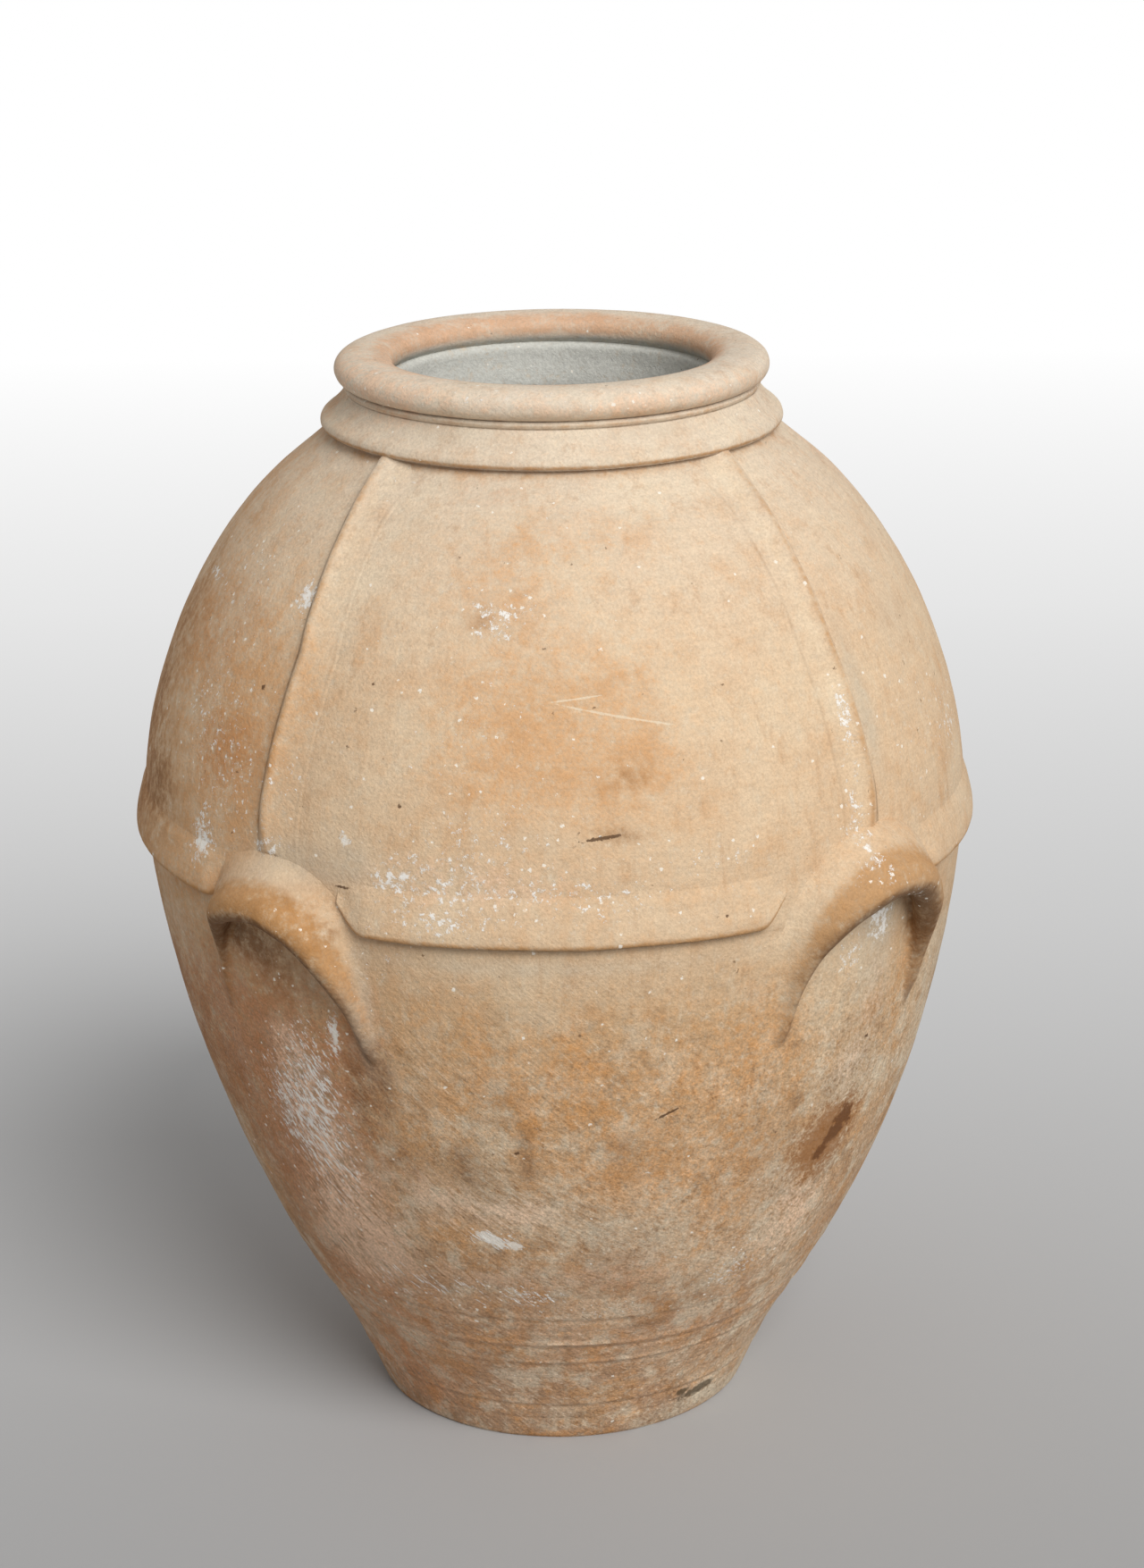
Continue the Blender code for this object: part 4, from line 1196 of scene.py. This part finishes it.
# Specks and pits: size of a cell, of the dot in it, which share of the cells stays bare, and cover
SPECK_MM, SPECK_SIZE, SPECK_FROM, SPECK_COVER = 7.0, 0.20, 0.955, 0.85
PIT_MM, PIT_SIZE, PIT_FROM, PIT_COVER = 11.0, 0.08, 0.92, 0.6
# Specks gather where there is lime. A dot's edge is ragged, and soft outwards and inwards.
SPECK_GATHERED = 0.8
DOT_RAGGED, DOT_SOFT_OUT, DOT_SOFT_IN = 0.9, 0.3, 0.1


def dots(finish, patterns, size_mm, dot_size, chosen_from, gathered=0.0):
    """Ragged dots in some cells of a size in millimetres, in more of them where they are gathered."""
    distance = add_node(
        finish, "TexVoronoi", {"Vector": patterns["place"], "Scale": 1000.0 / size_mm}, "Distance"
    )
    chance = add_node(finish, "SeparateColor", {"Color": distance.node.outputs["Color"]}, "Red")
    chosen = add_node(finish, "Math", {0: chance, 1: gathered}, operation="ADD")
    chosen = add_node(finish, "Math", {0: chosen, 1: chosen_from}, operation="GREATER_THAN")
    smaller = add_node(
        finish, "Math", {0: chance.node.outputs["Green"], 1: dot_size, 2: distance}, operation="MULTIPLY_ADD"
    )
    ragged = add_node(
        finish, "Math", {0: patterns["grit"], 1: DOT_RAGGED, 2: smaller}, operation="MULTIPLY_ADD"
    )
    edge = DOT_RAGGED / 2 + dot_size
    return add_node(
        finish, "MapRange",
        {
            "Value": ragged, "To Max": chosen,
            "From Min": edge + dot_size * DOT_SOFT_OUT, "From Max": edge - dot_size * DOT_SOFT_IN,
        },
        interpolation_type="SMOOTHSTEP",
    )


def weathered(finish, patterns, colour):
    """The ground with all its layers, and where lime stands up or a pit sinks in."""
    for layer, (hex_colour, pattern, share, low, high, cover) in LAYER_LOOKS.items():
        amount = add_node(finish, "Attribute", {}, "Fac", attribute_name=layer)
        broken = add_node(
            finish, "Math", {0: patterns[pattern], 1: 2.0 * share, 2: 1.0 - share}, operation="MULTIPLY_ADD"
        )
        amount = add_node(finish, "Math", {0: amount, 1: broken}, operation="MULTIPLY")
        colour = laid_over(finish, colour, to_linear(hex_colour), amount, low, high, cover)
    for pattern, depth, more_below in GRAIN:
        depth = add_node(
            finish, "Math", {0: patterns["low_down"], 1: more_below, 2: depth}, operation="MULTIPLY_ADD"
        )
        grain = add_node(
            finish, "MapRange",
            {"Value": patterns[pattern], "From Min": GRAIN_FROM, "From Max": GRAIN_TO, "To Min": -1.0},
        )
        grain = add_node(finish, "Math", {0: grain, 1: depth, 2: 1.0}, operation="MULTIPLY_ADD")
        colour = add_node(finish, "VectorMath", {0: colour, "Scale": grain}, operation="SCALE")
    pits = dots(finish, patterns, PIT_MM, PIT_SIZE, PIT_FROM)
    colour = laid_over(finish, colour, to_linear(PIT_DARK), pits, 0.0, 1.0, PIT_COVER)
    lime = add_node(finish, "Attribute", {}, "Fac", attribute_name="lime")
    caught = add_node(
        finish, "Mix", {0: patterns["low_down"], 2: patterns["lime"], 3: patterns["lime_streaks"]},
        data_type="FLOAT",
    )
    crust = add_node(finish, "Math", {0: lime, 1: LIME_REACH, 2: caught}, operation="MULTIPLY_ADD")
    crust = add_node(
        finish, "MapRange", {"Value": crust, "From Min": LIME_CUT, "From Max": LIME_CUT + LIME_EDGE},
        interpolation_type="SMOOTHSTEP",
    )
    gathered = add_node(finish, "Math", {0: lime, 1: SPECK_GATHERED}, operation="MULTIPLY")
    specks = dots(finish, patterns, SPECK_MM, SPECK_SIZE, SPECK_FROM, gathered)
    colour = laid_over(finish, colour, to_linear(SPECK_PALE), specks, 0.0, 1.0, SPECK_COVER)
    colour = laid_over(finish, colour, to_linear(LIME_WHITE), crust, 0.0, 1.0, LIME_COVER)
    return colour, add_node(finish, "Math", {0: crust, 1: pits}, operation="SUBTRACT")


print("layers of weather:", list(LAYER_LOOKS))

# %% [markdown]
# A few marks in the photograph are sharper than any layer: a spilt brown stain, a green-black one at the
# foot, gouges, and a long scratch. Each one is a flat ellipsoid in space. The Mapping node turns its space
# into a unit ball, so that the length of the result says whether a point of the clay is inside.

# %% Place the single marks
# Colour: how ragged, softness, cover, and the marks
# Right of the lens in degrees, height in metres, half length and half width in millimetres, lean in degrees
MARKS = {
    "#9C6632": (1.4, 0.9, 0.80, ((45.9, 0.318, 46.0, 38.0, 34.0),)),
    "#6A4122": (1.8, 0.7, 0.80, (
        (48.2, 0.320, 17.0, 10.0, 44.0), (49.2, 0.331, 12.0, 13.0, 20.0), (45.6, 0.302, 8.0, 7.0, 30.0),
    )),
    "#53452F": (1.6, 0.9, 0.80, ((43.0, 0.030, 24.0, 6.5, 12.0), (36.0, 0.034, 8.0, 4.0, 0.0))),
    "#553A24": (2.4, 0.5, 0.85, (
        (6.7, 0.6385, 15.0, 1.9, 6.0), (-28.3, 0.5867, 8.0, 1.5, -2.0), (49.8, 0.411, 3.5, 2.2, 0.0),
        (-46.3, 0.728, 2.4, 2.6, 0.0), (-26.8, 0.747, 1.8, 1.8, 0.0), (-20.5, 0.658, 1.8, 1.8, 0.0),
        (22.0, 0.566, 1.6, 1.6, 0.0), (-6.0, 0.352, 2.0, 1.6, 0.0), (15.5, 0.386, 10.0, 1.2, 24.0),
    )),
    "#F0E2C8": (1.4, 0.7, 0.50, ((9.4, 0.7295, 48.0, 1.0, -12.0), (3.5, 0.7435, 24.0, 0.8, 6.0))),
    "#F5EFE4": (2.8, 0.8, 0.75, (
        (-11.2, 0.256, 15.0, 5.0, -24.0), (-7.4, 0.250, 10.0, 3.5, -10.0), (-54.5, 0.590, 5.5, 17.0, 10.0),
        (-31.8, 0.447, 2.2, 20.0, -8.0), (-28.0, 0.626, 3.0, 5.0, 0.0),
    )),
}
MARK_DEPTH_MM = 40.0
# How far from its middle a mark ends, where 1 is the ellipsoid's own surface
MARK_REACH = 0.9


def marked(finish, patterns, colour):
    """Lays the single marks over a colour."""
    for hex_colour, (raggedness, softness, share, marks) in MARKS.items():
        cover = 0.0
        for right, height, half_long, half_wide, lean in marks:
            azimuth = view_azimuth + math.radians(right)
            radius = float(wall_radius(height))
            ball = add_node(finish, "Mapping", {
                "Vector": patterns["place"],
                "Location": (radius * math.cos(azimuth), radius * math.sin(azimuth), height),
                "Rotation": (0.0, -math.radians(lean), azimuth + math.pi / 2),
                "Scale": (half_long * MM, MARK_DEPTH_MM * MM, half_wide * MM),
            }, vector_type="TEXTURE")
            reach = add_node(finish, "VectorMath", {0: ball}, "Value", operation="LENGTH")
            reach = add_node(
                finish, "Math", {0: patterns["broken"], 1: raggedness, 2: reach}, operation="MULTIPLY_ADD"
            )
            inside = add_node(finish, "MapRange", {
                "Value": reach, "From Min": MARK_REACH + (raggedness + softness) / 2,
                "From Max": MARK_REACH + (raggedness - softness) / 2,
            }, interpolation_type="SMOOTHSTEP")
            cover = add_node(finish, "Math", {0: cover, 1: inside}, operation="MAXIMUM")
        colour = laid_over(finish, colour, to_linear(hex_colour), cover, 0.0, 1.0, share)
    return colour


print("single marks:", sum(len(marks) for *_, marks in MARKS.values()))

# %% [markdown]
# The relief is small: grit under a millimetre, shallow scrapes and pits, and lime that stands up as a crust.
# The three finishes differ in how coarse and how matt they were left: the wall as the wheel left it, the neck
# smoothed with a wet rag, and the lugs worn a little smoother by hands.

# %% Build the three finishes
# A fixed turn of the jar's own space, so that x runs to the right across its photographed side
FRONT_ON = (0.0, 0.0, -math.radians(VIEW_TURN_DEG))
# A space for patterns: how it is turned after that, and how it is stretched
SPACES = {
    "as_it_is": ((0.0, 0.0, 0.0), (1.0, 1.0, 1.0)),
    "run_down": ((0.0, 0.0, 0.0), (1.0, 1.0, 0.10)),
    "wheeled": ((0.0, 0.0, 0.0), (0.10, 0.10, 1.0)),
    "slanted": ((0.0, -math.radians(44.0), 0.0), (0.14, 1.0, 1.0)),
}
# Pattern: its space, size in millimetres, detail and roughness
# Wheel lines and scrapes are finer than this on the jar. They are drawn as coarse as they need to show.
PATTERNS = {
    "cloud": ("as_it_is", 110.0, 3.0, 0.55),
    "blotch": ("as_it_is", 32.0, 6.0, 0.68),
    "patch": ("as_it_is", 34.0, 7.0, 0.70),
    "mottle": ("as_it_is", 8.5, 5.0, 0.72),
    "grit": ("as_it_is", 2.4, 3.0, 0.75),
    "lime": ("as_it_is", 6.5, 6.0, 0.78),
    "streak": ("run_down", 14.0, 6.0, 0.7),
    "wheel": ("wheeled", 3.6, 4.0, 0.6),
    "scrape": ("slanted", 3.4, 5.0, 0.66),
    "lime_streaks": ("slanted", 3.0, 6.0, 0.80),
}
# Two mixed patterns that break up the edges of the weather, the torn one only low down
BROKEN_UP = {
    "broken": {"mottle": 0.5, "grit": 0.2, "blotch": 0.3},
    "torn": {"scrape": 0.5, "mottle": 0.2, "blotch": 0.3},
}
# The levels of each part between which the mixed pattern runs from 0 to 1
BROKEN_FROM, BROKEN_TO = 0.24, 0.76
# How high each pattern and the crust of lime stand, in millimetres
RELIEF = {"blotch": 0.9, "mottle": 0.9, "grit": 0.5, "scrape": 0.6, "wheel": 0.2}
CRUST_RELIEF = 0.12
# The lower body is rougher: from this height down to that one
SMOOTH_ABOVE, ROUGH_BELOW = 0.56, 0.38
# Dry clay hardly shines, and its roughness goes up and down by this much
CLAY_IOR, CLAY_SPECULAR, ROUGHNESS_SPREAD = 1.5, 0.25, 0.08


def fired_clay(name, coarseness, roughness):
    """A finish of fired clay, by how coarse and how matt it was left."""
    finish = bpy.data.materials.new(name)
    finish.use_nodes = True
    finish.node_tree.nodes.clear()
    place = add_node(finish, "TexCoord", {}, "Object")
    front_on = add_node(finish, "Mapping", {"Vector": place, "Rotation": FRONT_ON})
    height = add_node(finish, "SeparateXYZ", {"Vector": place}, "Z")
    low_down = add_node(
        finish, "MapRange", {"Value": height, "From Min": SMOOTH_ABOVE, "From Max": ROUGH_BELOW},
        interpolation_type="SMOOTHSTEP",
    )
    patterns = {"place": place, "height": height, "low_down": low_down}
    for pattern, (space, size_mm, detail, roughness_share) in PATTERNS.items():
        turn, stretched = SPACES[space]
        turned_space = add_node(finish, "Mapping", {"Vector": front_on, "Rotation": turn})
        turned_space = add_node(finish, "Mapping", {"Vector": turned_space, "Scale": stretched})
        patterns[pattern] = add_node(finish, "TexNoise", {
            "Vector": turned_space, "Scale": 1000.0 / size_mm, "Detail": detail, "Roughness": roughness_share,
        })
    patch = add_node(finish, "SeparateColor", {"Color": patterns["patch"].node.outputs["Color"]})
    for channel in ("Red", "Green", "Blue"):
        patterns["patch_" + channel.lower()] = patch.node.outputs[channel]
    for pattern, shares in BROKEN_UP.items():
        total = 0.0
        for part, share in shares.items():
            stretched = add_node(
                finish, "MapRange",
                {"Value": patterns[part], "From Min": BROKEN_FROM, "From Max": BROKEN_TO},
                interpolation_type="SMOOTHSTEP",
            )
            total = add_node(finish, "Math", {0: stretched, 1: share, 2: total}, operation="MULTIPLY_ADD")
        patterns[pattern] = total
    patterns["torn"] = add_node(
        finish, "Mix", {0: low_down, 2: patterns["broken"], 3: patterns["torn"]}, data_type="FLOAT"
    )
    colour, crust = weathered(finish, patterns, ground(finish, patterns))
    colour = marked(finish, patterns, colour)
    relief = add_node(finish, "Math", {0: crust, 1: CRUST_RELIEF * MM}, operation="MULTIPLY")
    for pattern, height_mm in RELIEF.items():
        relief = add_node(
            finish, "Math", {0: patterns[pattern], 1: height_mm * MM * coarseness, 2: relief},
            operation="MULTIPLY_ADD",
        )
    bump = add_node(finish, "Bump", {"Height": relief, "Distance": 1.0, "Strength": 1.0}, "Normal")
    matt = add_node(finish, "MapRange", {
        "Value": patterns["mottle"],
        "To Min": roughness - ROUGHNESS_SPREAD, "To Max": roughness + ROUGHNESS_SPREAD,
    })
    clay = add_node(finish, "BsdfPrincipled", {
        "Base Color": colour, "Roughness": matt, "Normal": bump,
        "IOR": CLAY_IOR, "Specular IOR Level": CLAY_SPECULAR,
    })
    add_node(finish, "OutputMaterial", {"Surface": clay})
    return finish


wall_clay = fired_clay("wheel-smoothed coarse terracotta", coarseness=1.0, roughness=0.88)
neck_clay = fired_clay("rag-smoothed terracotta", coarseness=0.9, roughness=0.84)
worn_clay = fired_clay("hand-worn terracotta", coarseness=0.9, roughness=0.8)
FINISHES = {"neck_collar": neck_clay, "rim_roll": neck_clay}
for piece, nodes in clay_pieces:
    piece.data.materials.clear()
    piece.data.materials.append(worn_clay if "handle" in nodes[0] else FINISHES.get(nodes[0], wall_clay))
print("nodes in the wall's finish:", len(wall_clay.node_tree.nodes))

# %% [markdown]
# ## Floor and light
# The jar stood in front of a plain sheet that was light grey near the lens and white behind. So the floor's
# own colour grows paler with the distance. Far behind the jar the lens sees plain white, whatever the light,
# while near the jar the floor still takes its soft shadow.

# %% Lay a pale floor
FLOOR_SIZE = 60.0
FLOOR_NEAR_HEX, FLOOR_MIDDLE_HEX, FLOOR_FAR_HEX = "#A9A9A9", "#D2D2D2", "#FFFFFF"
# How far behind the jar the sheet is darkest and palest, and where between them the middle colour lies
FLOOR_NEAR, FLOOR_FAR, FLOOR_MIDDLE_SHARE = -0.6, 4.6, 0.33
# From where to where the lens stops seeing the shadow
SEEN_FROM, SEEN_TO = 0.5, 2.6

bpy.ops.object.select_all(action="DESELECT")
bpy.ops.mesh.primitive_plane_add(size=FLOOR_SIZE)
floor = bpy.context.object
floor.name = "floor"

sheet = bpy.data.materials.new("pale matt paper sheet")
sheet.use_nodes = True
sheet.node_tree.nodes.clear()
place = add_node(sheet, "TexCoord", {}, "Object")
front_on = add_node(sheet, "Mapping", {"Vector": place, "Rotation": FRONT_ON})
depth = add_node(sheet, "SeparateXYZ", {"Vector": front_on}, "Y")
share = add_node(sheet, "MapRange", {"Value": depth, "From Min": FLOOR_NEAR, "From Max": FLOOR_FAR})
paper_colour = add_node(sheet, "ValToRGB", {"Fac": share})
stops = paper_colour.node.color_ramp.elements
stops[0].color = to_linear(FLOOR_NEAR_HEX)
stops[1].color = to_linear(FLOOR_FAR_HEX)
stops.new(FLOOR_MIDDLE_SHARE).color = to_linear(FLOOR_MIDDLE_HEX)
paper = add_node(sheet, "BsdfDiffuse", {"Color": paper_colour})
plain = add_node(sheet, "Emission", {"Color": paper_colour, "Strength": 1.0})
camera_ray = add_node(sheet, "LightPath", {}, "Is Camera Ray")
seen = add_node(
    sheet, "Math", {0: camera_ray, 1: camera_ray.node.outputs["Is Glossy Ray"]}, operation="MAXIMUM"
)
far_off = add_node(sheet, "MapRange", {"Value": depth, "From Min": SEEN_FROM, "From Max": SEEN_TO})
seen = add_node(sheet, "Math", {0: seen, 1: far_off}, operation="MULTIPLY")
mixed = add_node(sheet, "MixShader", {0: seen, 1: paper, 2: plain})
add_node(sheet, "OutputMaterial", {"Surface": mixed})
floor.data.materials.append(sheet)
print("floor:", FLOOR_SIZE, "m square")

# %% [markdown]
# The light is a studio's: one large soft source high on the right, and an even wrap from all around. The
# left side of the jar falls into shade, and every groove under an edge gets its dark line.

# %% Hang the lights
KEY_FROM_RIGHT_DEG = 28.0
KEY_HEIGHT_DEG = 38.0
KEY_STRENGTH = 2.5
KEY_SOFTNESS_DEG = 36.0
WRAP_STRENGTH = 0.40

key = bpy.data.objects.new("key light", bpy.data.lights.new("key light", "SUN"))
key.data.energy = KEY_STRENGTH
key.data.angle = math.radians(KEY_SOFTNESS_DEG)
key.rotation_euler = (
    math.radians(90.0 - KEY_HEIGHT_DEG), 0.0, math.radians(VIEW_TURN_DEG + KEY_FROM_RIGHT_DEG)
)
bpy.context.scene.collection.objects.link(key)

studio = bpy.data.worlds.new("studio")
studio.use_nodes = True
wrap = studio.node_tree.nodes["Background"]
wrap.inputs["Color"].default_value = (1.0, 1.0, 1.0, 1.0)
wrap.inputs["Strength"].default_value = WRAP_STRENGTH
bpy.context.scene.world = studio
bpy.context.scene.view_settings.view_transform = "Standard"
print("key at", KEY_HEIGHT_DEG, "degrees up,", KEY_FROM_RIGHT_DEG, "degrees to the right")
